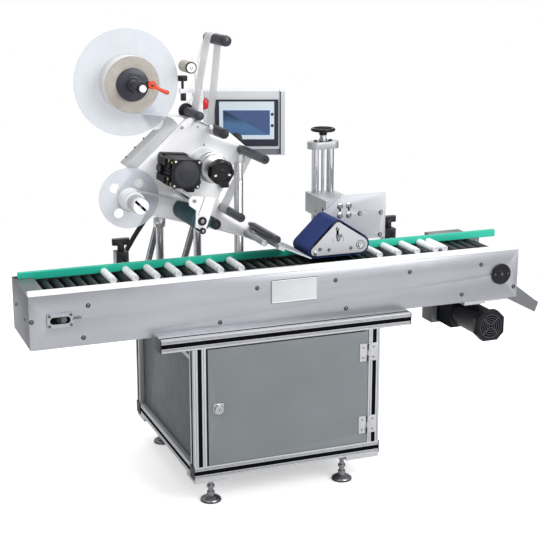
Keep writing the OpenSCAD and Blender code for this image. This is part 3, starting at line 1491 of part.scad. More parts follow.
// Panel box that turns on its post
panel_trim = 16;
panel_foot = 20;
socket_h = 28;
module on_panel() {
    in_line() translate([panel_post_x, panel_post_y, panel_bottom]) rotate(-panel_turn) children();
}
panel_right = 2;
stop_in = 37;
stop_low = 39;
panel_x = -(panel_w + panel_trim) / 2 + panel_right;
stop_x = panel_x + stop_in;
stop_z = panel_foot + panel_h - stop_low;
stop_r = 9;
module panel_box() {
    trim_proud = 4;
    foot_step = 2;
    stop_bore = 30;
    socket_wall = 7;
    color("whitesmoke") on_panel() {
        difference() {
            union() {
                translate([panel_x, -panel_d / 2, panel_foot]) cube([panel_w, panel_d, panel_h]);
                translate([panel_x + panel_w, -panel_d / 2 - trim_proud, 0])
                    cube([panel_trim, panel_d + trim_proud, panel_h + panel_foot]);
                translate([panel_x, -panel_d / 2 + foot_step, 0]) cube([panel_w, panel_d - foot_step, panel_foot]);
            }
            translate([stop_x, -panel_d / 2 - over, stop_z]) rotate([-90, 0, 0])
                cylinder(h = stop_bore, r = stop_r + run_gap);
        }
        difference() {
            translate([0, 0, -socket_h]) cylinder(h = socket_h, r = panel_post_d / 2 + socket_wall);
            translate([0, 0, -socket_h - over]) cylinder(h = socket_h + over, r = panel_post_d / 2 + run_gap);
        }
    }
}
module touch_panel() {
    bezel_w = 202.5;
    bezel_margin = 5;
    bezel_h = 149;
    bezel_t = 5;
    bezel_lift = 9.5;
    bezel_edge = 13.6;
    bezel_foot = 22.5;
    screen_w = 175.6;
    screen_h = 120.5;
    screen_t = 2;
    bezel_x = panel_x + panel_w - bezel_w - bezel_margin;
    color("midnightblue") on_panel() {
        translate([bezel_x, -panel_d / 2 - bezel_t, panel_foot + bezel_lift]) cube([bezel_w, bezel_t, bezel_h]);
        translate([bezel_x + bezel_edge, -panel_d / 2 - bezel_t - screen_t, panel_foot + bezel_lift + bezel_foot])
            cube([screen_w, screen_t, screen_h]);
    }
}
// Mushroom head of the emergency stop on its stem, with the collar round it
module stop_button() {
    head_r = 18;
    head_h = 14;
    rest_gap = 9;
    stem_in = 20;
    face_y = -panel_d / 2;
    color("red") on_panel() translate([stop_x, 0, stop_z]) {
        y_rod(0, 0, face_y - rest_gap - head_h, face_y - rest_gap, head_r);
        y_rod(0, 0, face_y - rest_gap - sink, face_y + stem_in, stop_r);
    }
}

cabinet_posts();
cabinet_rails();
cabinet_panels();
cabinet_feet();
cabinet_fittings();
cabinet_door();
door_lock();
conveyor_beams();
side_plate_front();
side_plate_back();
front_rail();
face_fittings();
drive_gearmotor();
discharge_chute();
side_guide();
guide_clamps();
clamp_knob_left();
clamp_knob_right();
bed_top_run();
bed_return_run();
drive_shaft();
idler_shaft();
sample_tubes();
stand_posts();
head_plate();
head_channel();
reel_arms();
nip_bracket();
head_motor();
knob_hub();
star_knob();
peel_plate();
label_sensor();
head_knobs();
label_web();
unwind_hub();
unwind_disc();
label_roll();
hub_lever();
rewind_reel();
guide_roller_1();
guide_roller_2();
guide_roller_3();
guide_roller_4();
guide_roller_5();
edge_roller();
traction_roller();
pinch_roller();
machine_hose();
press_frame();
press_screw();
press_carriage();
press_belt();
belt_plates();
press_roller_drive();
press_roller_front();
press_roller_top();
panel_box();
touch_panel();
stop_button();
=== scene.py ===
import bpy
import bmesh
import json
from math import asin, atan2, ceil, cos, degrees, hypot, pi, radians, sin
from mathutils import Matrix, Vector
from mathutils.geometry import convex_hull_2d, tessellate_polygon

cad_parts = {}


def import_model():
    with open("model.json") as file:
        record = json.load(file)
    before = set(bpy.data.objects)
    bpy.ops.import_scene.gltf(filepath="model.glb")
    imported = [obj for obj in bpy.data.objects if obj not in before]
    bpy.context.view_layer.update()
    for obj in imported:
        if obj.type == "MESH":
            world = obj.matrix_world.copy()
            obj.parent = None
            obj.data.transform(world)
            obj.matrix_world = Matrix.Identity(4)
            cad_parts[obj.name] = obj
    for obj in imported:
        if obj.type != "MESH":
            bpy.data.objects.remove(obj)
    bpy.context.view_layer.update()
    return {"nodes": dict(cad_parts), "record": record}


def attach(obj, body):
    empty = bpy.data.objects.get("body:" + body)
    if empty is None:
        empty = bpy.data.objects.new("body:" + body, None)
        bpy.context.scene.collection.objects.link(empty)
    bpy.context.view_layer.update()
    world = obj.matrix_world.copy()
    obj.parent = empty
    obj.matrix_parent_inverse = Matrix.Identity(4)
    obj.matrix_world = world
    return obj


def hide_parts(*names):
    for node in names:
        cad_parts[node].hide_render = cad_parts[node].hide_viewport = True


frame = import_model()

NODE = frame["nodes"]
# The drawing's own origin is the conveyor's front left corner on the floor, in millimetres
LINE_X, LINE_Y = 850.0, 282.0


def at(x, y, z):
    """Drawing position in millimetres to the row frame in metres."""
    return Vector(((x - LINE_X) / 1000, (y - LINE_Y) / 1000, z / 1000))


def show(name, data):
    """A new object in the scene."""
    obj = bpy.data.objects.new(name, data)
    bpy.context.scene.collection.objects.link(obj)
    return obj


# Camera
RIGHT = Vector((0.9314, -0.3639, 0.0))
UP = Vector((0.0912, 0.2335, 0.9680))
FORWARD = Vector((0.3523, 0.9017, -0.2507))
cam_data = bpy.data.cameras.new("camera")
cam_data.sensor_width = 36.0
cam_data.lens = 85.03
cam_data.clip_end = 60.0
cam = show("camera", cam_data)
rot = Matrix((RIGHT, UP, -FORWARD)).transposed().to_4x4()
cam.matrix_world = Matrix.Translation(at(-631.3, -3514.9, 1698.1)) @ rot
bpy.context.scene.camera = cam
bpy.context.scene.view_settings.view_transform = "Standard"


def rows(text):
    """The words of each line of a table."""
    return [line.split() for line in text.strip().split("\n")]


def tuples(text):
    """Tuples of numbers, written with commas in them and a space between them."""
    return [tuple(map(float, word.split(","))) for word in text.split()]


# Materials
MATS = {}


class Tree:
    """A short way to write a node tree."""

    def __init__(self, tree):
        self.tree = tree

    def feed(self, target, value):
        """Links a socket to an input, or writes a value or a colour into it."""
        if isinstance(value, bpy.types.NodeSocket):
            self.tree.links.new(value, target)
        elif target.type == "RGBA":
            target.default_value = (*value[:3], 1.0)
        else:
            target.default_value = value

    def new(self, kind, feeds=(), **inputs):
        """A node; feeds go to its inputs in their order, the rest to inputs or settings by name."""
        node = self.tree.nodes.new("ShaderNode" + kind)
        for key, value in inputs.items():
            name = key.replace("_", " ")
            if name in node.inputs:
                self.feed(node.inputs[name], value)
            else:
                setattr(node, key, value)
        for target, value in zip(node.inputs, feeds):
            self.feed(target, value)
        return node

    def math(self, op, a, b=0.0):
        return self.new("Math", (a, b), operation=op).outputs[0]


class Nodes(Tree):
    """The node tree of a new material."""

    def __init__(self, name):
        self.mat = bpy.data.materials.new(name)
        self.mat.use_nodes = True
        super().__init__(self.mat.node_tree)
        self.bsdf = self.tree.nodes["Principled BSDF"]
        self.coord = self.new("TexCoord").outputs["Object"]
        MATS[name] = self.mat

    def stretched(self, scale):
        return self.new("Mapping", Vector=self.coord, Scale=scale).outputs["Vector"]

    def noise(self, vector, scale, detail=4.0, rough=0.55):
        return self.new("TexNoise", Vector=vector, Scale=scale, Detail=detail, Roughness=rough).outputs["Fac"]

    def ramp(self, fac, low, high, a, b):
        return self.new("MapRange", (fac, low, high, a, b)).outputs["Result"]

    def mix(self, fac, a, b):
        m = self.new("Mix", data_type="RGBA")
        for key, value in ((0, fac), (6, a), (7, b)):
            self.feed(m.inputs[key], value)
        return m.outputs[2]

    def bump(self, height, strength, distance):
        b = self.new("Bump", Height=height, Strength=strength, Distance=distance)
        self.fixed(Normal=b.outputs["Normal"])

    def fixed(self, **values):
        for key, value in values.items():
            self.feed(self.bsdf.inputs[key.replace("_", " ")], value)


def shade(c, k):
    return tuple(min(1.0, x * k) for x in c)


def surface(name, colour, rough, metal, grain, scale, spread, bump, fine, marks, coat=0.0, spec=0.5):
    """Colour that varies in soft patches, a fine grain stretched along one axis and faint handling marks."""
    n = Nodes(name)
    patches = n.noise(n.coord, scale * 0.35, 3.0)
    streaks = n.noise(n.stretched(grain), fine, 3.0, 0.7)
    a = n.mix(n.ramp(patches, 0.3, 0.7, 0, 1), shade(colour, 1 - spread), shade(colour, 1 + spread))
    b = n.mix(n.ramp(streaks, 0.25, 0.75, 0, marks), a, shade(colour, 0.72))
    n.fixed(Base_Color=b)
    smudge = n.noise(n.coord, scale, 5.0, 0.65)
    n.fixed(Roughness=n.ramp(n.math("ADD", smudge, n.math("MULTIPLY", streaks, 0.5)), 0.5, 1.1,
                             max(0.02, rough - 0.07), min(1.0, rough + 0.12)))
    n.bump(streaks, bump, 0.0004)
    n.fixed(Metallic=metal, Coat_Weight=coat, Specular_IOR_Level=spec)


# Name, colour (3), roughness, metal, stretch of the grain (3), scale of the patches, their spread, bump,
# fineness of the grain, handling marks, and where given clear coat and shine
# The second steel row is the first steel made darker: painted shade for the back side plate and the
# conveyor's end.
SURFACES = """
steel_x 0.4 0.41 0.44 0.36 0.85 0.02 1 1 12 0.05 0.12 900 0.25
steel_end 0.22 0.225 0.24 0.38 0.8 1 0.02 1 12 0.05 0.12 900 0.25
profile 0.46 0.47 0.49 0.42 0.55 0.05 0.05 0.05 20 0.04 0.08 700 0.14
dial_alu 0.5 0.51 0.53 0.3 0.75 1 0.1 1 30 0.04 0.08 700 0.1
slot_black 0.003 0.003 0.004 0.85 0 1 1 1 60 0.2 0.2 300 0.1 0 0.03
black_plastic 0.012 0.0125 0.015 0.42 0 1 1 1 60 0.15 0.3 1400 0.1 0 0.35
black_metal 0.005 0.0055 0.008 0.45 0 1 1 1 50 0.12 0.35 900 0.1 0 0.25
chrome 0.72 0.73 0.75 0.14 1 1 1 0.05 40 0.03 0.05 500 0.1
steel_shaft 0.66 0.67 0.7 0.2 0.95 1 1 0.03 40 0.04 0.06 600 0.2
screw_steel 0.3 0.3 0.32 0.28 0.95 1 1 1 200 0.08 0.1 1500 0.2
panel_paint 0.062 0.072 0.078 0.5 0 1 1 1 18 0.05 0.35 1800 0.06 0.1 0.4
door_paint 0.15 0.167 0.175 0.5 0 1 1 1 18 0.04 0.35 1800 0.05 0.1 0.4
grey_paint 0.13 0.137 0.15 0.45 0.1 1 1 1 18 0.05 0.3 1500 0.06 0 0.4
rail_white 0.8 0.81 0.825 0.4 0 1 1 1 30 0.03 0.1 900 0.05
white_plastic 0.76 0.77 0.79 0.4 0 1 1 1 30 0.03 0.1 900 0.05
guide_green 0.02 0.45 0.315 0.36 0 0.05 1 1 20 0.05 0.12 600 0.06 0 0.4
head_white 0.93 0.935 0.95 0.42 0 1 1 0.2 14 0.025 0.12 900 0.05
channel_grey 0.56 0.57 0.58 0.42 0.6 0.2 1 0.2 20 0.04 0.1 600 0.12
mill_alu 0.52 0.53 0.55 0.36 0.7 1 1 0.1 16 0.05 0.12 700 0.16
idler 0.038 0.04 0.052 0.36 0.35 1 0.05 1 30 0.1 0.12 700 0.12 0 0.4
roller_black 0.007 0.0075 0.009 0.5 0 1 0.08 1 40 0.15 0.15 500 0.1 0 0.25
teal_rubber 0.008 0.052 0.064 0.55 0 1 0.1 1 40 0.12 0.35 700 0.12 0 0.35
tube_white 0.94 0.95 0.97 0.25 0 1 0.2 1 30 0.02 0.05 300 0.02 0.2
roll_side 0.66 0.655 0.65 0.6 0 1 0.05 1 30 0.06 0.3 900 0.12
tube_cap 0.78 0.79 0.84 0.3 0 1 0.2 1 30 0.02 0.08 300 0.03 0.2
lever_orange 0.6 0.055 0.015 0.4 0 1 1 1 60 0.06 0.2 900 0.06 0.1 0.35
stop_red 0.55 0.012 0.02 0.35 0 1 1 1 60 0.05 0.1 900 0.05 0.1 0.35
yellow_mark 0.85 0.78 0.14 0.45 0 1 1 1 60 0.05 0.1 900 0.05
panel_light 0.56 0.575 0.595 0.48 0 1 1 1 18 0.03 0.4 1700 0.05 0.05 0.4
trim_grey 0.15 0.16 0.18 0.45 0 1 1 1 18 0.05 0.3 1500 0.05 0 0.4
bezel_navy 0.018 0.02 0.036 0.4 0 1 1 1 30 0.06 0.15 1200 0.05 0 0.35
hose_black 0.008 0.008 0.01 0.4 0 1 1 1 60 0.2 0.2 900 0.1 0 0.35
foot_rubber 0.02 0.02 0.022 0.6 0 1 1 1 50 0.2 0.3 700 0.1 0 0.3
screw_dark 0.14 0.14 0.15 0.3 0.9 1 1 1 200 0.08 0.1 1500 0.2
nip_white 0.72 0.725 0.74 0.42 0.1 1 1 0.2 14 0.025 0.12 900 0.05
foot_steel 0.26 0.26 0.28 0.24 0.9 1 1 1 60 0.06 0.1 900 0.15
name_steel 0.56 0.57 0.59 0.42 0.6 0.02 1 1 12 0.04 0.1 900 0.12
screw_white 0.78 0.78 0.8 0.3 0.6 1 1 1 200 0.05 0.1 1500 0.1
motor_cap 0.016 0.017 0.024 0.5 0 1 1 1 50 0.1 0.3 1300 0.1 0 0.4
knob_gloss 0.005 0.005 0.006 0.3 0 1 1 1 60 0.15 0.1 900 0.06 0 0.3
reel_grey 0.45 0.46 0.48 0.4 0.2 1 0.05 1 40 0.06 0.1 800 0.1
panel_edge 0.52 0.54 0.57 0.4 0.2 1 1 0.05 20 0.04 0.15 900 0.06
screen_white 0.55 0.62 0.67 0.45 0 1 1 1 30 0.02 0.03 900 0.02 0 0.3
screen_blue 0.056 0.125 0.25 0.5 0 1 1 1 30 0.04 0.03 900 0.03 0 0.25
screen_deep 0.055 0.09 0.2 0.5 0 1 1 1 30 0.04 0.03 900 0.03 0 0.25
screen_line 0.5 0.7 0.84 0.45 0 1 1 1 30 0.02 0.03 900 0.02 0 0.3
cast_alu 0.43 0.44 0.46 0.42 0.55 1 1 1 26 0.05 0.2 900 0.1
press_chrome 0.66 0.67 0.72 0.12 1 1 1 0.04 40 0.03 0.04 600 0.1
plate_white 0.5 0.51 0.54 0.42 0.3 1 1 0.1 16 0.03 0.1 800 0.1
lock_metal 0.4 0.41 0.43 0.26 0.95 1 1 0.1 40 0.05 0.1 900 0.15
gear_black 0.005 0.0055 0.009 0.38 0 1 1 1 50 0.12 0.35 900 0.1 0 0.2
fan_rim 0.03 0.031 0.04 0.34 0.2 1 1 1 50 0.12 0.35 900 0.1 0 0.6
chute_grey 0.13 0.133 0.143 0.42 0.1 1 1 0.2 30 0.04 0.1 900 0.1
hinge_metal 0.5 0.51 0.53 0.34 0.8 1 1 0.1 40 0.05 0.1 900 0.15
"""
# The near-black row named for slots is painted shade, laid in slots, gaps, holes and recesses all over the
# machine.
for name, *values in rows(SURFACES):
    v = [float(x) for x in values]
    surface(name, v[:3], v[3], v[4], v[5:8], *v[8:])


def paper_roll():
    n = Nodes("roll_paper")
    middle = at(364, 0, 1285)
    moved = n.new("Mapping", Vector=n.coord, Location=(-middle.x, 0, -middle.z)).outputs["Vector"]
    flat = n.new("VectorMath", (moved, (1, 0, 1)), operation="MULTIPLY").outputs["Vector"]
    r = n.new("VectorMath", (flat,), operation="LENGTH")
    rings = n.math("SINE", n.math("MULTIPLY", r.outputs["Value"], 9000.0))
    blotch = n.noise(n.coord, 45.0, 5.0, 0.7)
    a = n.mix(n.ramp(blotch, 0.3, 0.7, 0, 1), (0.36, 0.325, 0.29), (0.47, 0.44, 0.41))
    n.fixed(Base_Color=n.mix(n.ramp(rings, -1, 1, 0, 0.25), a, (0.27, 0.245, 0.22)))
    n.bump(rings, 0.25, 0.0003)
    n.fixed(Roughness=0.7)


paper_roll()


def clear(name, colour, alpha, rough):
    n = Nodes(name)
    smears = n.noise(n.stretched((1, 1, 0.4)), 14.0, 6.0, 0.7)
    n.fixed(Base_Color=n.mix(n.ramp(smears, 0.35, 0.7, 0, 1), shade(colour, 0.94), shade(colour, 1.05)))
    n.fixed(Roughness=n.ramp(smears, 0.3, 0.7, rough, rough + 0.15))
    n.bump(smears, 0.05, 0.0005)
    n.fixed(Alpha=alpha, IOR=1.49)


clear("clear_disc", (0.60, 0.64, 0.70), 0.5, 0.12)
clear("web_film", (0.78, 0.79, 0.80), 0.55, 0.3)
clear("web_edge", (0.50, 0.51, 0.53), 0.8, 0.3)


def belt():
    n = Nodes("belt_blue")
    u = n.new("TexWave", Vector=n.stretched((1, 1, 1)), Scale=190.0, bands_direction="Y")
    v = n.noise(n.coord, 700.0, 2.0)
    weave = n.math("ADD", n.math("MULTIPLY", u.outputs["Fac"], 0.5), n.math("MULTIPLY", v, 0.5))
    soft = n.noise(n.coord, 25.0, 4.0)
    a = n.mix(n.ramp(soft, 0.3, 0.7, 0, 1), (0.014, 0.030, 0.135), (0.02, 0.042, 0.18))
    n.fixed(Base_Color=n.mix(n.ramp(weave, 0.3, 0.8, 0, 0.35), a, (0.006, 0.014, 0.07)))
    n.bump(weave, 0.35, 0.0005)
    n.fixed(Roughness=0.6, Specular_IOR_Level=0.15)


belt()

# Material and the CAD nodes that have it
# The back side plate takes the darker copy of the steel, painted shade.
DRESS = """
profile cabinet_posts cabinet_rails conveyor_beams
panel_paint cabinet_panels
chrome cabinet_feet door_lock
black_plastic cabinet_fittings guide_clamps clamp_knob_left clamp_knob_right star_knob label_sensor
black_plastic head_knobs
door_paint cabinet_door
steel_x side_plate_front face_fittings
steel_end side_plate_back
rail_white front_rail
black_metal drive_gearmotor head_motor
grey_paint discharge_chute
guide_green side_guide
roller_black bed_top_run bed_return_run drive_shaft idler_shaft pinch_roller
tube_white sample_tubes
steel_shaft stand_posts press_frame press_screw
head_white head_plate reel_arms nip_bracket
channel_grey head_channel
idler knob_hub unwind_hub guide_roller_1 guide_roller_2 guide_roller_3 guide_roller_4 guide_roller_5
idler press_roller_drive press_roller_front press_roller_top
mill_alu peel_plate press_carriage belt_plates
web_film label_web
clear_disc unwind_disc
roll_paper label_roll
lever_orange hub_lever
white_plastic rewind_reel edge_roller
teal_rubber traction_roller
hose_black machine_hose
belt_blue press_belt
panel_light panel_box
bezel_navy touch_panel
stop_red stop_button
"""
DRESS = {node: material for material, *nodes in rows(DRESS) for node in nodes}
for name, material in DRESS.items():
    obj = NODE[name]
    obj.data.materials.clear()
    obj.data.materials.append(MATS[material])
    for face in obj.data.polygons:
        face.material_index = 0


# Making pieces
REC = frame["record"]
BODY = {node: body for body, nodes in REC["behaviour"]["bodies"].items() for node in nodes}
AXES = {"x": (1, 0, 0), "-x": (-1, 0, 0), "y": (0, 1, 0), "-y": (0, -1, 0), "z": (0, 0, 1), "-z": (0, 0, -1)}


def across(axis):
    """Two unit vectors square to an axis, and the axis."""
    w = Vector(AXES[axis] if isinstance(axis, str) else axis).normalized()
    u = Vector((1, 0, 0)) if abs(w.x) < 0.8 else Vector((0, 0, 1))
    u = (u - w * u.dot(w)).normalized()
    return u, w.cross(u), w


class Piece:
    """One mesh, built in drawing millimetres from turned, extruded and swept parts."""

    def __init__(self, name, node, materials):
        self.name, self.node, self.mats = name, node, materials.split()
        self.bm = bmesh.new()
        self.turn = Matrix.Identity(4)
        self.mat = 0

    def of(self, mat):
        """The piece, with this material for what comes next."""
        self.mat = mat
        return self

    def vert(self, p):
        return self.bm.verts.new(at(*(self.turn @ Vector(p))))

    def face(self, verts):
        f = self.bm.faces.new(verts)
        f.material_index = self.mat
        return f

    def skin(self, loops, ends=True):
        """Faces between loops of vertices; a loop of one vertex is a point."""
        for a, b in zip(loops, loops[1:]):
            n = max(len(a), len(b))
            for k in range(n):
                j = (k + 1) % n
                quad = [a[k % len(a)], a[j % len(a)], b[j % len(b)], b[k % len(b)]]
                self.face(list(dict.fromkeys(quad)))
        for loop in (loops[0], loops[-1]) if ends else ():
            if len(loop) > 2:
                self.face(loop)

    def lathe(self, place, axis, rings, sides=40, six=(), lobes=0, depth=0.0):
        """Turned part; a ring is a distance along the axis and a radius, and six lists hexagonal rings."""
        u, v, w = across(axis)
        loops = []
        for k, (d, r) in enumerate(tuples(rings) if isinstance(rings, str) else rings):
            c = Vector(place) + w * d
            if r == 0:
                loops.append([self.vert(c)])
                continue
            loop = []
            for t in steps(sides):
                q = r
                if k in six:
                    q = r * cos(pi / 6) / cos(t % (pi / 3) - pi / 6)
                if lobes:
                    q = r * (1 + depth * cos(lobes * t))
                loop.append(self.vert(c + u * q * cos(t) + v * q * sin(t)))
            loops.append(loop)
        self.skin(loops)

    def rod(self, place, axis, length, r, edge=0.8, sides=40):
        self.lathe(place, axis, [(0, r - edge), (edge, r), (length - edge, r), (length, r - edge)], sides)

    def disc(self, place, r, h=0.25, sides=24, axis="-y"):
        self.lathe(place, axis, [(0, r), (h, r), (h, 0)], sides)

    def screw(self, place, r, h, axis="-y"):
        """Socket-head screw with its hexagon recess."""
        self.lathe(place, axis, [(0, r), (h * 0.8, r), (h, r * 0.82), (h, r * 0.5), (h * 0.35, r * 0.5),
                                 (h * 0.3, 0)], 24, six=(3, 4))

    def dome(self, place, r, h, axis="-y"):
        """Round-head screw with its hexagon recess."""
        self.lathe(place, axis, [(0, r), (h * 0.5, r * 0.93), (h * 0.85, r * 0.72), (h, r * 0.48),
                                 (h * 0.4, r * 0.45), (h * 0.35, 0)], 24, six=(3, 4))

    def prism(self, outline, y0, y1, holes=()):
        """Outline in X and Z, with holes, extruded between two planes."""
        rings = [[Vector(p).to_3d() for p in ring] for ring in (outline, *holes)]
        flat = [p for ring in rings for p in ring]
        low, high = ([self.vert((p.x, y, p.y)) for p in flat] for y in (y0, y1))
        if holes:
            for tri in tessellate_polygon(rings):
                self.face([low[i] for i in tri])
                self.face([high[i] for i in reversed(tri)])
        else:
            self.face(low)
            self.face(high[::-1])
        start = 0
        for ring in rings:
            n = len(ring)
            for k in range(n):
                i, j = start + k, start + (k + 1) % n
                self.face([low[i], low[j], high[j], high[i]])
            start += n

    def box(self, lo, hi):
        self.prism([(lo[0], lo[2]), (hi[0], lo[2]), (hi[0], hi[2]), (lo[0], hi[2])], lo[1], hi[1])

    def sweep(self, path, radii, sides=12):
        """Tube along points, with one radius or one for each point."""
        pts = [Vector(p) for p in path]
        radii = [radii] * len(pts) if isinstance(radii, (int, float)) else radii
        loops, u = [], None
        for k, p in enumerate(pts):
            w = (pts[min(k + 1, len(pts) - 1)] - pts[max(k - 1, 0)]).normalized()
            u = across(w)[0] if u is None else (u - w * u.dot(w)).normalized()
            v = w.cross(u)
            loops.append([self.vert(p + (u * cos(t) + v * sin(t)) * radii[k]) for t in steps(sides)])
        self.skin(loops)

    def whole(self, bevel=0, **more):
        """Finishes a piece that takes its node's place."""
        obj = self.done(bevel, **more)
        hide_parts(self.node)
        return obj

    def done(self, bevel, segments=2, angle=35, paint=()):
        """Finishes the piece; where a test in paint holds for a face's middle, it has the next material."""
        bmesh.ops.remove_doubles(self.bm, verts=self.bm.verts, dist=1e-6)
        bmesh.ops.dissolve_limit(self.bm, angle_limit=radians(0.6), verts=self.bm.verts, edges=self.bm.edges,
                                 delimit={"MATERIAL"})
        bmesh.ops.recalc_face_normals(self.bm, faces=self.bm.faces)
        for index, test in enumerate(paint, 1):
            for f in self.bm.faces:
                c = f.calc_center_median() * 1000
                if test(c.x + LINE_X, c.y + LINE_Y, c.z):
                    f.material_index = index
        if not bevel:
            for e in self.bm.edges:
                e.smooth = len(e.link_faces) != 2 or e.calc_face_angle() < radians(angle)
        mesh = bpy.data.meshes.new(self.name)
        self.bm.to_mesh(mesh)
        self.bm.free()
        for m in self.mats:
            mesh.materials.append(MATS[m])
        mesh.shade_smooth()
        obj = show(self.name, mesh)
        if bevel:
            mod = obj.modifiers.new("edges", "BEVEL")
            mod.width = bevel / 1000
            mod.segments = segments
            mod.limit_method = "ANGLE"
            mod.angle_limit = radians(angle)
            mod.harden_normals = True
        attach(obj, BODY[self.node])
        return obj


def eased(node, bevel, materials="", *tests, segments=2):
    """The CAD node's own form with eased edges; where a test holds, a face has the next material."""
    p = Piece(node + ".eased", node, materials or DRESS[node])
    p.bm.from_mesh(NODE[node].data)
    for f in p.bm.faces:
        f.material_index = 0
    p.whole(bevel, segments=segments, paint=tests)


def steps(n):
    """Angles of n steps round a circle."""
    return [2 * pi * k / n for k in range(n)]


def polar(x, z, r, a):
    return x + r * cos(a), z + r * sin(a)


def circle(x, z, r, n=32):
    return [polar(x, z, r, t) for t in steps(n)]


def turned(place, angle, axis="Y"):
    """Placement at a point, turned round an axis by an angle in degrees."""
    return Matrix.Translation(place) @ Matrix.Rotation(radians(angle), 4, axis)


def pill(x, z, x1, z1, r):
    """Outline of a slot with round ends."""
    n, a = 10, atan2(z1 - z, x1 - x)
    return [polar(cx, cz, r, s + pi * k / n)
            for cx, cz, s in ((x1, z1, a - pi / 2), (x, z, a + pi / 2)) for k in range(n + 1)]


def rounded(x0, z0, x1, z1, r):
    """Outline of a rectangle with round corners."""
    n = 6
    corners = ((x1 - r, z0 + r, -90), (x1 - r, z1 - r, 0), (x0 + r, z1 - r, 90), (x0 + r, z0 + r, 180))
    return [polar(cx, cz, r, radians(s + 90 * k / n)) for cx, cz, s in corners for k in range(n + 1)]


# The cabinet's posts by their left and front faces, and the foot of its top rails and of the beams
POST_X, POST_Y = (474, 1054), (-43, 567)
RAIL_Z, BEAM_Z = 473.5, 513.5


def profile_slot(u, v):
    """True inside the slots of a profile's low and high faces, at u, v of its section."""
    return abs(u % 40 - 20) < 4.5 and (v < 10.4 or v > 29.6)


def in_slots(x, y, z):
    """True for the faces inside the slots of the cabinet's profiles and beams, which take black painted
    shade.
    """
    if 0.1 < z - BEAM_Z < 39.9:
        for y0, wide in ((POST_Y[0], 80), (215, 40)):
            if y0 < y < y0 + wide and 377.5 < x < 1198.5:
                u, v = y - y0, z - BEAM_Z
                return profile_slot(u, v) or (abs(v - 20) < 4.5 and (u < 10.4 or u > wide - 10.4))
        return False
    u, v = x - POST_X[x >= 700], y - POST_Y[y >= 200]
    front_or_back = y < -3 or y > POST_Y[1]
    if z < 136:
        u, v = v if front_or_back else u, z - 96
        inside = 0.5 < v < 39.5
    elif z > RAIL_Z + 0.1 and not front_or_back:
        v = z - RAIL_Z
        inside = True
    else:
        inside = z > 136.5
    return inside and (profile_slot(u, v) or profile_slot(v, u))


# Hose, web, roll and belt
# Middle line of the hose, from the head down to the cabinet's top
ROUTE = tuples("440,262,884 433,268,866 395,310,786 364,342,706 364,348,640 402,352,590 462,360,566 "
               "508,368,552 523,372,537 524,372,525 524,372,514")


def smooth_route(points, step):
    """Points of a Catmull-Rom curve through the given ones, about step apart."""
    pts = [Vector(p) for p in points]
    out = []
    for i in range(len(pts) - 1):
        a, b, c, d = pts[max(0, i - 1)], pts[i], pts[i + 1], pts[min(len(pts) - 1, i + 2)]
        n = max(1, round((c - b).length / step))
        for k in range(n):
            t = k / n
            out.append(0.5 * (2 * b + (c - a) * t + (2 * a - 5 * b + 4 * c - d) * t * t
                              + (3 * b - a - 3 * c + d) * t ** 3))
    return out + [pts[-1]]


def hose():
    path = smooth_route(ROUTE, 1.1)
    p = Piece("ribbed_hose", "machine_hose", "hose_black")
    p.sweep(path, [7.5 + 0.5 * cos(2 * pi * k / 4) for k in range(len(path))], 16)
    obj = p.whole()
    ends = Piece("hose_glands", "machine_hose", "black_plastic")
    top = (Vector(ROUTE[0]) - Vector(ROUTE[1])).normalized()
    ends.lathe(Vector(ROUTE[1]) - top * 4, top, "0,9.2 3,11.5 14,11.5 17,10 20,8.4", 24, six=(1, 2))
    ends.lathe((524, 372, 513.5), "z", "0,13 4,13 5,11.5 15,11.5 18,9.2", 24, six=(2, 3))
    ends.done(0.5)


ROLL_AT = (364, 0, 1285.1)
# The web's turns: middle in X and Z, radius with the web's half thickness, and the sense of the turn
WEB_TURNS = [(ROLL_AT[0], ROLL_AT[2], 84.1, 1), (548, 1192, 14.2, 1), (625, 1410.9, 17.0, -1),
             (628, 1134, 16.6, 1), (729, 1062, 14.3, -1), (665, 882, 13.9, 1), (768, 813, 13.1, 1),
             (880, 745, 2.6, -1), (746, 794, 10.6, -1), (579.9, 871.2, 16.6, -1), (534, 887, 31.9, 1),
             (362, 934, 31.6, 1)]


def web_points():
    """Middle line of the web and its normals, from the roll to the rewind core."""
    def heading(i):
        (ax, az, ar, ad), (bx, bz, br, bd) = WEB_TURNS[i], WEB_TURNS[i + 1]
        dx, dz = bx - ax, bz - az
        return atan2(dz, dx) + asin(max(-1, min(1, (ad * ar - bd * br) / hypot(dx, dz))))

    line = []
    last = len(WEB_TURNS) - 1
    for i, (x, z, r, d) in enumerate(WEB_TURNS):
        a = heading(max(0, i - 1))
        turn = 0 if i in (0, last) else (d * (heading(i) - a)) % (2 * pi)
        n = max(1, ceil(degrees(turn) / 6))
        for k in range(n + 1) if turn else [0]:
            t = a + d * turn * k / n
            line.append((Vector((x + d * r * sin(t), 0, z - d * r * cos(t))),
                         Vector((-d * sin(t), 0, d * cos(t)))))
    return line


def web():
    p = Piece("web", "label_web", "web_film web_edge")
    loops = []
    for c, n in web_points():
        loops.append([p.vert(c + n * e + Vector((0, y, 0))) for e, y in ((0.3, 155), (0.3, 158), (0.3, 214),
                                                                         (0.3, 217), (-0.3, 217), (-0.3, 214),
                                                                         (-0.3, 158), (-0.3, 155))])
    p.skin(loops)
    p.whole(paint=[lambda x, y, z: y < 158.2 or y > 213.8])


def roll():
    p = Piece("paper_roll", "label_roll", "roll_paper roll_side")
    face = [(154.35 if k % 2 else 154.0, 39.5 + 1.06 * k) for k in range(42)]
    p.lathe(ROLL_AT, "y", [(217.4, 38.2), (154.6, 38.2), (154.2, 38.8), *face, (155, 83.4), (217, 83.4),
                           (217.6, 82.6), (217.6, 39)], 72)
    p.whole(paint=[lambda x, y, z: hypot(x - ROLL_AT[0], z - ROLL_AT[2]) > 83 and 155.5 < y < 216.5])


# The belt's rollers: middle in X and Z, and radius
BELT = [(1081, 756.7, 30), (925, 745.7, 19), (1003, 820.4, 19)]


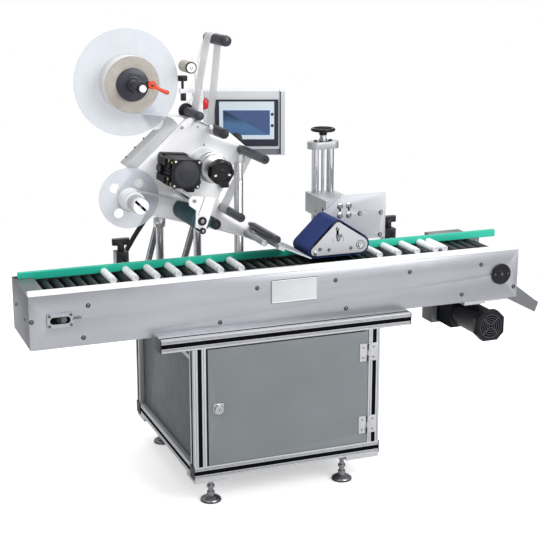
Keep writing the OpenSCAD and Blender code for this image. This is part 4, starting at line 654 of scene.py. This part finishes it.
def belt_loop(e, n=72):
    """Outline of the belt's path, e outside its rollers."""
    points = [q for x, z, r in BELT for q in circle(x, z, r + e, n)]
    return [points[i] for i in convex_hull_2d(points)]


def press_belt():
    p = Piece("woven_belt", "press_belt", "belt_blue black_plastic")
    p.prism(belt_loop(3.3), 95.4, 221.6, [belt_loop(1.0)])
    # Dark inner ply, set back a little at both edges
    p.of(1).prism(belt_loop(0.95), 96, 221, [belt_loop(0.3)])
    p.whole(0.4, angle=50)


# Conveyor
# Axis of the idler shaft, the pitch of the rollers, and the front plate's length, foot and height
IDLER_X, IDLER_Z, PITCH = 89.15, 636.97, 33.95
PLATE_LONG, PLATE_Z, PLATE_HIGH = 1612, 553.5, 160


def tubes():
    p = Piece("tubes", "sample_tubes", "tube_white tube_cap")
    for s in (5, 7, 9, 11, 13, 15, 17, 31, 33, 35, 37, 38):
        place = (IDLER_X + (s + 0.5) * PITCH, 103.7, 710.96)
        p.of(0).lathe(place, "y", "14,9.2 14.5,10.6 16,11.4 18,11.9 21,12 110,12 116,11.8 119,10.9 120,9.4 "
                                  "120,0", 36)
        # Cap with fine grip ribs and a dished top
        p.of(1).lathe(place, "y", "1.2,0 0.9,6 0,8 0,9.6 0.5,10.5 1.4,11", 36)
        p.lathe(place, "y", "1.4,10.9 2.2,11 13.2,11.1 14,10.7 14.2,9", 72, lobes=24, depth=0.012)
    p.whole()


def conveyor_details():
    p = Piece("face_details", "face_fittings", "name_steel screw_dark steel_x black_metal slot_black")
    # Bare name plate with a raised rim
    loops = tuples("0,0,4 -2.6,0,4 -3,0.6,3.6 -3,2.2,3 -2.2,3.2,2.6")
    p.skin([[p.vert((x, y, z)) for x, z in rounded(741.3 + e, 619.6 + e, 893.3 - e, 690.6 - e, r)]
            for y, e, r in loops])
    # Black plate a little larger than the name plate: painted shadow round its rim.
    p.of(4).prism(rounded(739.9, 618.2, 894.7, 692, 5), -0.4, 0)
    for sx, sz in tuples("0.0043,0.54 0.107,0.745 0.0965,0.15 0.4315,0.745 0.357,0.15 0.593,0.745 "
                         "0.616,0.15 0.753,0.755 0.914,0.76 0.872,0.17 0.992,0.22"):
        place = (PLATE_LONG * sx, 0, PLATE_Z + PLATE_HIGH * sz)
        # Black disc under each screw head: painted shadow round it.
        p.of(4).disc(place, 7, 0.3)
        p.of(1).dome(place, 5.6, 3.2)
    p.dome((0, 196.4, 641.5), 5.4, 3, axis="-x")
    p.dome((0, 66.3, 630.3), 5.4, 3, axis="-x")
    # Tensioner plates with the tensioning bolt in the front one
    x, z = IDLER_X, IDLER_Z
    p.mat = 2
    for y in (-3, 255):
        p.prism(rounded(x - 38.5, z - 22, x + 38.5, z + 22, 3), y, y + 3,
                [pill(x - 19.5, z, x + 19.5, z, 10.5)])
    for dx in (-31.5, 31.5):
        for dz in (-15, 15):
            p.of(1).screw((x + dx, -3, z + dz), 4.2, 3)
    p.lathe((x + 11, 1, z), "-y", "0,9 0.5,9.4 1.5,9.4 2,9", 24)
    p.lathe((x + 11, -1, z), "-y", "0,6 2.6,6 3.2,5.4 3.2,2 1.5,0", 24, six=(0, 1, 2))
    p.lathe((x + 37, -3, z + 2), "x", "0,2.8 4,2.8 4,2 24,2 25,1.2", 16, six=(0, 1))
    # Black plate behind the front tensioner plate, seen through its slot: painted shade.
    p.of(4).box((x - 27, 1.2, z - 10), (x + 27, 1.8, z + 10))
    # Bearing cover over the drive shaft's end
    p.of(3).lathe((1549, 0, z), "-y", "0,34 5,34 6,33 6,26 5.2,25 5.2,12 6,11 6.4,9 6.4,0", 64)
    p.of(1).screw((1549, -6, z), 4.8, 3)
    for s in (-1, 1):
        p.screw((1549 + s * 23.8, -5, z), 3, 1.9)
    p.whole(0.35)


def rollers_of_bed():
    for node in ("bed_top_run", "bed_return_run", "drive_shaft", "idler_shaft"):
        eased(node, 1.0)


# Label head
# Where the head's rollers end, just before its plate
HEAD_FACE = 229.4


def head_roller(node, x, z, r, y0, material, dome=False, flange=None):
    """Roller with a turned front face, its shaft, and the collar behind the plate."""
    p = Piece(node + ".turned", node, material + " screw_steel black_plastic")
    end = HEAD_FACE - y0
    tail = [(end - 1, r), (end, r - 1), (end, 0)]
    if dome:
        front = [(0, 0), (0.2, 4), (1.4, 8), (4, r - 2), (7, r - 0.4), (8, r - 0.3), (8.4, r - 1.4),
                 (10.4, r - 1.4), (10.8, r - 0.2), (12, r)]
    else:
        front = [(1.2, 0), (1.2, r * 0.62), (0.2, r * 0.66), (0, r * 0.7), (0, r - 1), (0.8, r)]
    p.lathe((x, y0, z), "y", front + tail, 56)
    if not dome:
        p.of(2).screw((x, y0 + 1.2, z), r * 0.34, 1.6)
    if flange:
        y, w, q = flange
        p.of(2).lathe((x, y, z), "y", [(0, r), (0, q - 1), (1, q), (w - 1, q), (w, q - 1), (w, r)], 64)
    p.of(1).lathe((x, 0, z), "y", [(HEAD_FACE - 0.5, 5), (250, 5), (250.5, 8.6), (254, 9), (254.5, 8.6),
                                   (254.5, 0)], 32)
    p.whole()


def head_rollers():
    for k, (x, z, r, y0, *more) in enumerate((
            (625, 1410.9, 16.4, 56, True), (548, 1192, 13.6, 79, True, (219, 4, 23.6)), (729, 1062, 13.7, 18),
            (665, 882, 13.3, 54), (768, 813, 12.5, 19)), 1):
        head_roller("guide_roller_%d" % k, x, z, r, y0, "idler", *more)
    head_roller("traction_roller", 534, 887, 31.3, 40, "teal_rubber")
    head_roller("pinch_roller", 579.9, 871.2, 16, 40, "roller_black")
    p = Piece("edge_roller.turned", "edge_roller", "roll_paper white_plastic black_plastic screw_steel")
    c = (546, 0, 1328)
    p.lathe(c, "y", "160,17 161,17.5 228.4,17.5 229.4,16.5 229.4,0", 56)
    p.of(2).lathe(c, "y", "155,13.5 154.5,17 155.5,17.5 160,17.3 160,0", 56)
    p.of(1).lathe(c, "y", "153.4,6 153,7 153,13 153.6,13.8 156,13.8 156,0", 48)
    p.of(3).screw((546, 155, 1328), 5.4, 2)
    p.lathe(c, "y", "229,5 250.5,5 251,9 254,9 254.4,8 254.4,0", 32)
    p.whole()


def head_motor():
    p = Piece("motor", "head_motor", "black_metal yellow_mark screw_white motor_cap")
    p.turn = turned((500, 0, 1024), 5)

    def octagon(w, c):
        return [(w, -w + c), (w, w - c), (w - c, w), (-w + c, w), (-w, w - c), (-w, -w + c), (-w + c, -w),
                (w - c, -w)]
    # Front plate, body and back plate
    p.prism(octagon(43, 4), 70, 84)
    p.prism(octagon(40, 7), 84.4, 196)
    p.prism(octagon(43, 5), 196.4, 229.8)
    # Upper and lower terminal boxes on the left side, each in two steps, with the plug between them
    for z0, z1 in ((13, 40), (-40, -14)):
        p.prism(rounded(-50, z0, -39, z1, 2), 92, 150)
        p.prism(rounded(-55, z0 + 3, -39, z1 - 2, 3), 118, 198)
        for k in range(3):
            p.box((-55.6, 126 + 22 * k, z0 + 5), (-54, 134 + 22 * k, z1 - 4))
    for z in (-8, 2):
        p.prism(rounded(-47, z, -39, z + 7, 2), 90, 150)
    p.prism(rounded(-56, -11, -39, 10, 5), 158, 200)
    p.mat = 1
    for z, y in ((36, 92.6), (31, 85), (-19, 92.6), (-33, 85.4)):
        p.box((-50.4 if y > 90 else -43.4, y, z - 3), (-42, y + 7, z + 3))
    p.of(3).lathe((0, 70, 0), "-y", "0,41 2,41 4.6,38 5,36.5 5,27 6,24.5 6,0", 96)
    p.lathe((0, 64.2, 0), "-y", "0,20 0.8,20 1.6,18.6 1.8,16 1.8,0", 72)
    p.mat = 2
    for sx in (-1, 1):
        for sz in (-1, 1):
            p.dome((sx * 36.5, 70, sz * 36.5), 3.6, 3)
    # Cable clamp under the lower right corner, with lugs at the right side
    p.of(0).prism(rounded(6, -56, 32, -41, 3), 84, 118)
    for z in (-24, 26):
        p.prism(rounded(40, z - 7, 50, z + 7, 3), 84, 104)
    p.whole(0.8)


def star_knob():
    hub = Piece("dial", "knob_hub", "dial_alu black_plastic head_white")
    c = (604, 0, 1026)
    hub.lathe(c, "y", "120,5.2 120,40 121.5,42.5 132,42.5 133,44 134,47.5 150,47.5 151,46 160,46 160,5.2", 96)
    hub.of(2).lathe(c, "y", "160.2,5.2 160.2,46 161,47.5 223.8,47.5 224,52.5 225,53.5 229.9,53.5 "
                            "229.9,5.2", 96)
    hub.mat = 1
    for k in range(50):
        long = 12 if k % 5 == 0 else 6
        hub.turn = turned(c, 360 * k / 50)
        hub.box((-0.6, 134.6, 47), (0.6, 134.6 + long, 47.9))
    hub.whole(0.3)
    p = Piece("lobed_knob", "star_knob", "knob_gloss chrome")
    # Lobed rim, its stem and the shaft
    rim = []
    for y, r, deep in tuples("51,27.5,0 46.6,28,0 45,30,0.2 45.4,34,0.6 48,37.4,1 54,39,1 74,39,1 80,36.6,1 "
                             "83,30,0.6 86,20,0 104,17,0 119.6,17,0 119.6,5,0 158,5,0"):
        loop = []
        for t in steps(112):
            q = r - deep * 2.6 * (1 - abs(cos(3.5 * t + 0.4))) ** 0.7
            loop.append(p.vert((c[0] + q * cos(t), y, c[2] + q * sin(t))))
        rim.append(loop)
    rim.append([p.vert((c[0], 158, c[2]))])
    p.skin(rim, ends=False)
    # Dished centre with a raised button
    p.lathe(c, "y", "50,29 50,27 53,25 55,20 55.4,13 52,12 49.6,10.6 49,8 48.8,0", 96)
    # Two light index pads on the dished rim
    p.mat = 1
    for a in (-20, 200):
        p.turn = turned(c, -a)
        p.prism(rounded(19, -3, 27.4, 3, 1.2), 46.6, 55)
    p.whole()


def unwind():
    c = ROLL_AT
    p = Piece("unwind_mandrel", "unwind_hub", "idler white_plastic screw_steel black_plastic")
    # Back bearing, core, front flange with its steps, clamp collar and the shaft
    p.lathe(c, "y", "62,12.6 60.5,13.5 60,15 60,18.5 61.2,20 90,20 92,18 92,12.5 126,12.5 130,16 138,20 "
                    "144,22 145,26 146,27 146,44 148,48.6 153.6,49 153.6,37.8 217,37.8 218,36 218,26 "
                    "222.6,26 229,25 229,10", 80)
    p.of(2).lathe(c, "y", "40.6,10 62.5,10 62.5,9 229,9.9 252,10 252,0", 48)
    p.lathe(c, "y", "243,17 244,18 249,18 250,17", 48)
    p.of(1).lathe(c, "y", "39.4,0 39.4,3 38.2,4 38,6 38,9 39,10.4 42,10.6 42,0", 48)
    p.of(3).prism(rounded(372, 1283, 397, 1303, 6), 64, 75)
    p.lathe((394.9, 0, 1293), "y", "46,0 46,3.6 70,4", 24)
    p.whole(0.4)
    e = Piece("lever", "hub_lever", "lever_orange screw_steel")
    e.turn = turned((394.9, 0, 1293), 27)
    e.lathe((0, 0, 0), "y", "49,4.1 49,10.4 50.2,12 60.5,12 61.8,10.5 61.8,4.1", 40)
    # Along the lever: place, its two offsets, half height and half width
    arm = tuples("6,0,0,6.4,5.2 16,1,0,5.6,4.6 30,0,-1.5,5.2,4.4 42,0.5,-1,6.0,4.8 50,0,0,6.8,5.2 "
                 "54.5,0,0,5.6,4.4 56.6,0,0,2.6,2.4")
    e.skin([[e.vert((x, 55 + dy + w * cos(t), dz + h * sin(t))) for t in steps(20)] for x, dy, dz, h,
            w in arm])
    e.of(1).screw((0, 47.5, 0), 4, 0.8)
    e.whole()
    d = Piece("clear_disc_big", "unwind_disc", "clear_disc")
    d.lathe(c, "y", "218.2,10.2 218.2,159 219,160 222,160 222.8,159 222.8,10.2", 128)
    d.whole()


def rewind():
    p = Piece("rewind_stack", "rewind_reel", "white_plastic clear_disc reel_grey slot_black screw_steel")
    x, z = 362, 934
    c = (x, 0, z)
    holes = [circle(*polar(x, z, 55.5, radians(a)), 15.4) for a in (53, 143, 233, 323)]
    p.of(1).prism(circle(x, z, 93.5, 112), 219.1, 222.9, holes)
    p.of(0).lathe(c, "y", "149.4,24 149,26 149,30 150,31 176,31 177,33 182,33 183,31 200,31 201,35 "
                          "206,35.5 219,35.5 219,10", 72)
    p.of(2).lathe(c, "y", "108.4,20 108.4,24.6 110,25 146,25 149.4,24 149.4,10", 64)
    p.mat = 0
    # Front knob with its diagonal slot, whose floor is a black plate of painted shade with a screw
    for start in (145, -35):
        p.prism([polar(x, z, 23, radians(t)) for t in range(start, start + 161, 5)], 82.4, 92)
    p.lathe(c, "y", "92,0 92,22 93,23 108,23 108,20", 64)
    p.of(3).lathe(c, "y", "91.6,0 91.6,21.6 91.9,21.6", 48)
    p.of(4).screw((x, 91.6, z), 4.6, 3)
    p.lathe(c, "y", "223,18 229.5,18 229.5,10 242.4,10 243,18 251,18 252,17 252,10 254,10 254,0", 48)
    p.whole(0.3)


def head_small():
    for node, bevel in (("head_plate", 1.0), ("reel_arms", 1.0), ("head_channel", 0.6), ("peel_plate", 0.4)):
        eased(node, bevel)
    eased("label_sensor", 0.8, "black_plastic chrome", lambda x, y, z: hypot(x - 580, z - 1159) < 5.6)
    eased("head_knobs", 1.2)
    s = Piece("head_screws", "head_plate", "black_metal chrome")
    for x, z, r in tuples("537,1140.5,5 587.6,1140.5,3.4 606,1083.5,4 600,860,3"):
        s.screw((x, 230, z), r, 3.4)
    for x, z in ((362, 1058), (390, 1086), (418, 1112)):
        s.screw((x, 242, z), 2.6, 1.4)
    # Silver ring of the octagonal bar and the nip rod's rings
    s.of(1).lathe((628, 196, 1134), "y", "0,11 1,14.5 9,14.5 10,13 16,13 17,11", 48)
    s.lathe((580, 81, 1159), "-y", "0,5.4 0.6,7 6,7.4 7.6,6 8,0", 32)
    for y in (44, 52, 60, 214):
        s.lathe((507, y, 947), "y", "0,6 0.6,7.6 3.4,7.6 4,6", 32)
    s.done(0.3)


def nip_bracket():
    """Two plates that carry the front ends of the nip rod and the traction roller."""
    p = Piece("nip_plates", "nip_bracket", "nip_white screw_steel black_metal chrome slot_black")
    x, z = 534, 887
    p.prism(tuples("502.5,965.6 578.4,955 548.5,867.4 539.3,849.7 518.6,853.6 511.7,869.3 516.3,920.4 "
                   "495.6,936.1 493.3,951.9"), 34.4, 39.7, [circle(x, z, 5.2, 24)])
    p.prism(tuples("502.5,965.6 541,960.2 520,905 519,872 512.5,868 516.3,920.4 495.6,936.1 493.3,951.9"),
            31.4, 34)
    # Black strip along the step between the two plates: painted shade of the slot there.
    p.of(4).prism([(541.4, 960.2), (543.8, 959.8), (522.6, 904.4), (520.2, 904.8)], 33.8, 34.4)
    p.of(2).lathe((x, 34.4, z), "-y", "0,13 4.5,13 5.5,11.8 5.5,9 3,8.4 3,0", 48)
    p.sweep([(512, 27, 868), (520, 27, 862), (530, 27, 857)], [3, 3.4, 3.4])
    p.lathe((533.8, 33.7, 858), "-y", "0,8 1,9.4 8,9.4 9,8.4 9,5 7.6,4.6 7.6,0", 48, lobes=20, depth=0.03)
    p.of(1).screw((x, 31.4, z), 6, 3.4)
    p.lathe((533.8, 26.4, 858), "-y", "0,4.4 1.6,4.2 2,3.4 2,0", 32)
    p.screw((510, 31.4, 950), 6, 2)
    p.of(3).rod((507, 39.6, 947), "y", 190.2, 6)
    p.whole(0.6)


# Control panel
def control_panel():
    spot = turned((771, 371, 1025.5), -21, "Z")
    p = Piece("panel_case", "panel_box", "panel_light trim_grey panel_edge slot_black steel_shaft")
    p.turn = spot
    p.prism(rounded(-146.5, 20, 134.5, 205, 5), -35, 35)
    p.of(1).prism(rounded(-146.5, 0.2, 134.5, 19.6, 3), -33, 35)
    p.of(2).prism(rounded(134.6, 0, 150.5, 205, 2), -39, 35)
    # Black strip in the gap before the edge strip, and the small black disc after it: painted shade.
    p.of(3).box((134.8, -39.3, 2), (137.6, -38, 203))
    p.disc((-86, -35, 166), 1.6, 0.25, 16)
    p.of(1).lathe((-109.5, -35, 166), "-y", "0,20 1,20 1.8,19 1.8,9.1", 48)
    p.of(4).lathe((0, 0, -28), "z", "0,15.1 0,21 1,22 27,22 28,21", 48)
    p.whole(0.8)
    s = Piece("screen", "touch_panel", "bezel_navy screen_white screen_blue screen_deep screen_line")
    s.turn = spot
    s.prism(rounded(-73, 29.5, 129.5, 178.5, 2), -40, -35)
    s.of(1).prism(rounded(-59.4, 52, 116.2, 172.5, 1), -42, -40)
    s.of(4).box((-49, -42.12, 63.5), (104.6, -42, 147))
    s.of(2).box((-47, -42.24, 65.5), (102.6, -42.12, 145))
    s.of(3).prism([(-47, 145), (102.6, 65.5), (102.6, 145)], -42.36, -42.24)
    for z in (132, 96):
        s.of(0).lathe((110, -42, z), "-y", "0,5 0.3,5 0.3,3.6 0.1,3.4 0.1,0", 24)
    s.whole(0.3)
    b = Piece("stop_mushroom", "stop_button", "stop_red")
    b.turn = spot
    b.lathe((-109.5, 0, 166), "y", "-58,0 -57.8,6 -57,12 -55,16 -51.5,18 -48,18 -45.5,16.5 -44,12 -44,9 "
                                   "-20,9 -20,0", 56)
    b.whole()


# Press unit
def press_unit():
    x, y, z = 1079, 390, 1081.5
    w = Piece("handwheel", "press_screw", "knob_gloss steel_shaft")
    rim = [(z + 3 + 6 * sin(t), 35 + 6 * cos(t)) for t in (radians(a) for a in range(-70, 131, 20))]
    w.lathe((x, y, 0), "z", [(z - 15.5, 6), (z - 15.5, 12), (z - 12, 13.4), (z - 8, 13), (z - 5, 17),
                             (z - 2, 27), *rim, (z + 2, 28), (z - 1, 20), (z + 1, 13), (z + 2.6, 11),
                             (z + 2.6, 0)], 80)
    w.of(1).lathe((x, y, 0), "z", "516,5.5 1045.8,5.5 1045.8,12 1047,14 1055,14 1056,12.4 1056,9.4 1057,11.6 "
                                  "1065.8,11.6 1066,5", 48, six=(7, 8))
    w.whole()
    eased("press_frame", 1.2, "cast_alu press_chrome",
          lambda a, b, c: 522 < c < 1021 and abs(b - y) < 13 and abs(abs(a - x) - 27) < 13)
    c = Piece("crown_screws", "press_frame", "black_metal slot_black")
    for s in (-1, 1):
        c.screw((x + 27 * s, y, 1045.5), 6, 5, axis="z")
        c.screw((x + 12 * s, y - 16, 1045.5), 3.5, 3.5, axis="z")
        c.screw((x + 45 * s, y - 28, 521.5), 5, 5, axis="z")
        # Thin black lines down the crown's front: painted shade of its joints.
        c.of(1).box((x + 39 * s - 0.5, y - 23, 1021.4), (x + 39 * s + 0.5, y - 22.4, 1045))
        c.mat = 0
    c.done(0.3)
    # Faces inside the carriage's bores round the stand posts take the black painted shade.
    eased("press_carriage", 0.8, "plate_white cast_alu slot_black", lambda a, b, c: b > 246.3,
          lambda a, b, c: b > 246.3 and 805.5 < c < 871.5 and hypot(abs(a - x) - 27, b - y) < 13)
    s = Piece("carriage_screws", "press_carriage", "chrome slot_black screw_steel")
    # Black discs round the counterbores, black hexagons on the screw heads and black slots: painted shade in
    # these recesses.
    for a in (-4, 28):
        for b in (821.8, 853.2):
            s.of(1).disc((x + a, 236, b), 10.6, 0.25, 32)
            s.of(0).lathe((x + a, 235.8, b), "-y", "0,9.6 1.2,9.6 1.6,9 1.6,0", 32)
            s.of(2).screw((x + a, 234.4, b), 7, 6.5)
            s.of(1).disc((x + a, 233, b), 3.4, 0.2, 6)
        s.of(1).prism(pill(x + a, 838, x + a, 842, 3), 235.7, 236)
    # Black disc under each screw head: painted shadow round it.
    for a, b in ((1147, 823.5), (1224, 821.5), (1222, 746.5)):
        s.of(1).disc((a, 236, b), 7.6, 0.25, 28)
        s.of(2).screw((a, 235.8, b), 6, 4)
    # Split of the clamp block with its screws, drawn as black sheets of painted shade
    s.of(1).box((1029.6, 300, 838), (1128.4, 300.8, 871.9))
    s.disc((1029, 272, 838), 5, 0.3, axis="-x")
    s.disc((1029, 330, 822), 3, 0.3, axis="-x")
    s.done(0.3)
    b = Piece("belt_side_plates", "belt_plates", "plate_white screw_steel slot_black channel_grey")
    plate = belt_loop(-5, 48)
    drive, nose = (q[:2] for q in BELT[:2])
    b.prism(plate, 89, 92, [circle(*drive, 8.2, 36), pill(1001, 795, 1001, 812, 4.2), circle(*nose, 5.2, 20)])
    b.prism(plate, 222.5, 225.5, [circle(*drive, 8.2, 36), circle(*nose, 5.2, 20)])
    # Black fill in the slot, black rings round the drive's bore and two short black lines: painted shade.
    b.of(2).prism(pill(1001, 795, 1001, 812, 4), 91, 91.4)
    for r0, r1 in ((13.4, 14.6), (9.6, 10.4)):
        b.lathe((drive[0], 88.9, drive[1]), "-y", [(0, r0), (0.2, r0), (0.2, r1), (0, r1)], 48)
    for x in (985, 1021):
        b.box((x, 88.8, 771), (x + 1, 89, 786))
    b.of(3).lathe((drive[0], 0, drive[1]), "y", "89,9 88,9.4 87.6,11 88,12.8 89,13.2", 56)
    # Black disc under each screw head: painted shadow round it.
    for x, z, r in tuples("1001,814,4.8 1000.5,789.5,4 1012.5,790,4 1004,779,4.6 941,752,4.2 972,748,4 "
                          "1048,748,4 925,736,3.4"):
        b.of(2).disc((x, 89, z), r + 1.6, 0.2)
        b.of(1).screw((x, 88.9, z), r, 2.8)
    for x, z in ((979, 766.7), (1015, 766.7), (1043, 788.7)):
        b.rod((x, 92, z), "y", 144, 5)
    b.whole(0.3)
    names = ("press_roller_drive", "press_roller_front", "press_roller_top")
    for node, (a, h, r), shaft, end in zip(names, BELT, (8, 5, 5), (250, 229, 229)):
        q = Piece(node + ".turned", node, "idler chrome")
        q.lathe((a, 0, h), "y", [(97.5, shaft), (97.5, r * 0.55), (96.2, r * 0.6), (96, r - 1), (97, r),
                                 (220, r), (221, r - 1), (221, shaft)], 64)
        q.of(1).lathe((a, 0, h), "y", [(85.4, 0), (85.4, shaft * 0.35), (85, shaft * 0.45), (85, shaft - 1),
                                       (86, shaft), (end - 1, shaft), (end, shaft - 1), (end, 0)], 40)
        q.whole()


# Cabinet and conveyor frame
def cabinet():
    # Faces inside the profiles' slots take the black painted shade.
    for node in ("cabinet_posts", "cabinet_rails", "conveyor_beams"):
        eased(node, 0.8, "profile slot_black", in_slots)
    eased("cabinet_fittings", 0.8, "black_plastic hinge_metal",
          lambda x, y, z: x > 1050 and y < -40 and 150 < z < 480)
    eased("cabinet_door", 1.2, "door_paint hinge_metal", lambda x, y, z: y < -43.05 and x > 1000)
    # Black strips over the slot openings of the posts and rails, with thin black lines beside the front ones:
    # painted shade of the slots.
    t = Piece("slot_shade_strips", "cabinet_posts", "slot_black")
    for x0, x1, z in ((377, 1199, 533.5), (474, 1094, 116)):
        t.box((x0, -43.4, z - 6.5), (x1, -43, z + 6.5))
        for e in (-13.5, -10.5, 10, 13.5):
            t.box((x0, -43.2, z + e), (x1, -43, z + e + 0.9))
    for x in (494, 1074):
        t.box((x - 6.5, -43.4, 136), (x + 6.5, -43, BEAM_Z))
        for e in (-13.5, 12.6):
            t.box((x + e, -43.2, 136), (x + e + 0.9, -43, BEAM_Z))
    sides = (473.6, 1094)
    for y in (-23, 587):
        for x in sides:
            t.box((x, y - 6, 136), (x + 0.4, y + 6, BEAM_Z))
    for x in sides:
        t.box((x, -3, 110), (x + 0.4, 567, 122))
    t.box((514, 607, 110), (1054, 607.4, 122))
    t.done(0)
    # Black strips along the door's left and top edges: painted shade of the gap round the door.
    d = Piece("door_gap_shade", "cabinet_door", "slot_black")
    d.box((516, -43.2, 138), (520, -43, 511.5))
    d.box((520, -43.2, 509.5), (1040, -43, 511.5))
    d.done(0)
    h = Piece("hinge_screws", "cabinet_fittings", "screw_steel")
    d = Piece("door_hinge_screws", "cabinet_door", "screw_steel")
    for z0 in (170, 411.6):
        for dz in (12, 46):
            h.screw((1070, -46, z0 + dz), 3.6, 1.6)
            d.screw((1034, -46, z0 + dz), 3.6, 1.6)
    h.done(0.2)
    d.done(0.2)
    k = Piece("key_lock", "door_lock", "lock_metal slot_black")
    c = (552, 0, 317.2)
    k.prism(rounded(535, 316, 569, 336, 3), -45.6, -43.05)
    k.lathe(c, "-y", "43.05,18 45.6,18 46.2,17 46.2,14.6 53,14 54.4,12.6 54.4,7 53.4,6.4 53.4,0", 48)
    k.lathe(c, "y", "-43,5.5 -24,5.5 -24,0", 32)
    k.box((524.8, -26.9, 311.7), (558.8, -23.9, 322.7))
    # Black keyway: painted shade.
    k.of(1).box((551, -53.7, 313.4), (553, -53.3, 321))
    k.whole(0.3)
    f = Piece("levelling_feet", "cabinet_feet", "profile foot_steel foot_rubber")
    for x in (474, 982):
        for y in (-43, 523):
            f.box((x, y, 83), (x + 112, y + 84, 96))
    for x in (541, 989):
        for y in (7, 525):
            f.of(2).lathe((x, y, 0), "z", "0,31 1,33 4,33 5,32", 48)
            f.of(1).lathe((x, y, 0), "z", "5,32.6 7,32 11,27 16,18 20,13 21,12 31,12 32,9 32,8 44,8 44,12 "
                                          "52,12 52,8 72,8 72,12 82,12 83,10 83,0",
                          48, six=(12, 13, 16, 17))
            f.lathe((x, y, 96), "z", "0,8 5,8 5,4 3,0", 24, six=(0, 1, 2))
    f.whole(0.8)
    eased("cabinet_panels", 0.4)
    eased("stand_posts", 0.8)
    eased("drive_gearmotor", 1.2, "gear_black profile grey_paint",
          lambda x, y, z: z > 541.4 and y < 255, lambda x, y, z: y > 254.9)
    m = Piece("fan_cover", "drive_gearmotor", "slot_black fan_rim")
    # Black disc behind the grille rings: painted shade inside the cover.
    m.lathe((1507, -20, 468.5), "-y", "0,38 0.6,38", 48)
    for r in (5, 13, 21, 29, 37):
        m.of(1).prism(circle(1507, 468.5, r + 2.6, 48), -21.4, -20, [circle(1507, 468.5, r, 48)])
    for a in (45, 135, 225, 315):
        m.turn = turned((1507, -20.9, 468.5), a)
        m.box((6, -0.4, -1.6), (38, 0.3, 1.6))
    m.done(0.3)
    eased("discharge_chute", 0.5, "chute_grey")
    for node in ("side_plate_front", "side_plate_back"):
        eased(node, 0.5)
    eased("front_rail", 2.4, segments=3)
    eased("side_guide", 1.0, "guide_green mill_alu", lambda x, y, z: y > 230.2)
    eased("guide_clamps", 1.2, "black_plastic mill_alu", lambda x, y, z: z < 713.4 or (z < 713.6 and y < 265))
    for node in ("clamp_knob_left", "clamp_knob_right"):
        eased(node, 3.0, segments=3)


for build in (hose, web, roll, press_belt, tubes, conveyor_details, rollers_of_bed, head_rollers,
              head_motor, star_knob, unwind, rewind, head_small, nip_bracket, control_panel, press_unit,
              cabinet):
    build()


# Stage
def stage():
    """Round pale floor that the camera sees as plain white paper."""
    floor_mesh = bpy.data.meshes.new("floor")
    ring = [(x, y, 0) for x, y in circle(0, 0, 2.7, 64)]
    floor_mesh.from_pydata(ring, [], [range(len(ring))])
    floor = show("floor", floor_mesh)
    floor.location.z = -0.001
    n = Nodes("floor_white")
    grain = n.noise(n.coord, 3.0, 4.0)
    n.fixed(Base_Color=n.mix(n.ramp(grain, 0.3, 0.7, 0, 1), (0.80, 0.80, 0.80), (0.82, 0.82, 0.82)))
    n.fixed(Roughness=0.9)
    plain = n.bsdf.outputs[0]
    glow = n.new("Emission", Strength=0.45).outputs[0]
    both = n.new("AddShader", (plain, glow)).outputs[0]
    seen = n.new("LightPath").outputs["Is Camera Ray"]
    pick = n.new("MixShader", (seen, plain, both)).outputs[0]
    n.feed(n.tree.nodes["Material Output"].inputs["Surface"], pick)
    floor.data.materials.append(n.mat)


def world():
    """White to the camera, soft white light, and a studio of bright and dark walls for reflections."""
    w = bpy.data.worlds.new("studio")
    bpy.context.scene.world = w
    w.use_nodes = True
    t = Tree(w.node_tree)

    def glow(strength):
        return t.new("Background", Color=(1, 1, 1), Strength=strength).outputs[0]

    def mix(*feeds):
        return t.new("MixShader", feeds).outputs[0]

    def along(out, dx, dy):
        """Part of a ray's way along a level direction."""
        return t.math("ADD", t.math("MULTIPLY", out["X"], dx), t.math("MULTIPLY", out["Y"], dy))

    path = t.new("LightPath").outputs
    way = t.new("SeparateXYZ", (t.new("TexCoord").outputs["Generated"],)).outputs
    # Bright wall in front, dark ones behind and at both sides
    side = t.math("POWER", t.math("ABSOLUTE", along(way, 0.93, 0.36)), 1.5)
    walls = t.math("SUBTRACT", 1.05, t.math("MULTIPLY", side, 0.85))
    ahead = t.math("MAXIMUM", along(way, 0.36, 0.93), 0.0)
    walls = t.math("SUBTRACT", walls, t.math("MULTIPLY", ahead, 0.75))
    above = t.math("MAXIMUM", walls, t.math("MULTIPLY", way["Z"], 1.1))
    seen = mix(path["Is Glossy Ray"], glow(1.0), glow(above))
    keep = t.math("MAXIMUM", path["Is Camera Ray"],
                  t.math("MAXIMUM", path["Is Glossy Ray"], path["Is Transmission Ray"]))
    t.feed(w.node_tree.nodes["World Output"].inputs["Surface"], mix(keep, glow(0.75), seen))


def lamp(name, place, aim, size, power):
    data = bpy.data.lights.new(name, "AREA")
    data.shape = "RECTANGLE"
    data.size, data.size_y = size
    data.energy = power
    o = show(name, data)
    o.location = place
    o.rotation_mode = "QUATERNION"
    o.rotation_quaternion = (Vector(aim) - Vector(place)).to_track_quat("-Z", "Y")


stage()
world()
lamp("key", (1.6, -3.9, 3.0), (0, 0, 0.7), (2.6, 2.2), 150)
lamp("fill", (-3.2, -2.4, 2.4), (0, 0, 0.8), (2.4, 2.4), 20)
lamp("top", (0, 0.4, 4.2), (0, 0, 0.6), (3.2, 2.2), 52)
lamp("back", (1.5, 3.6, 2.6), (0, 0, 0.6), (2.6, 2.0), 26)
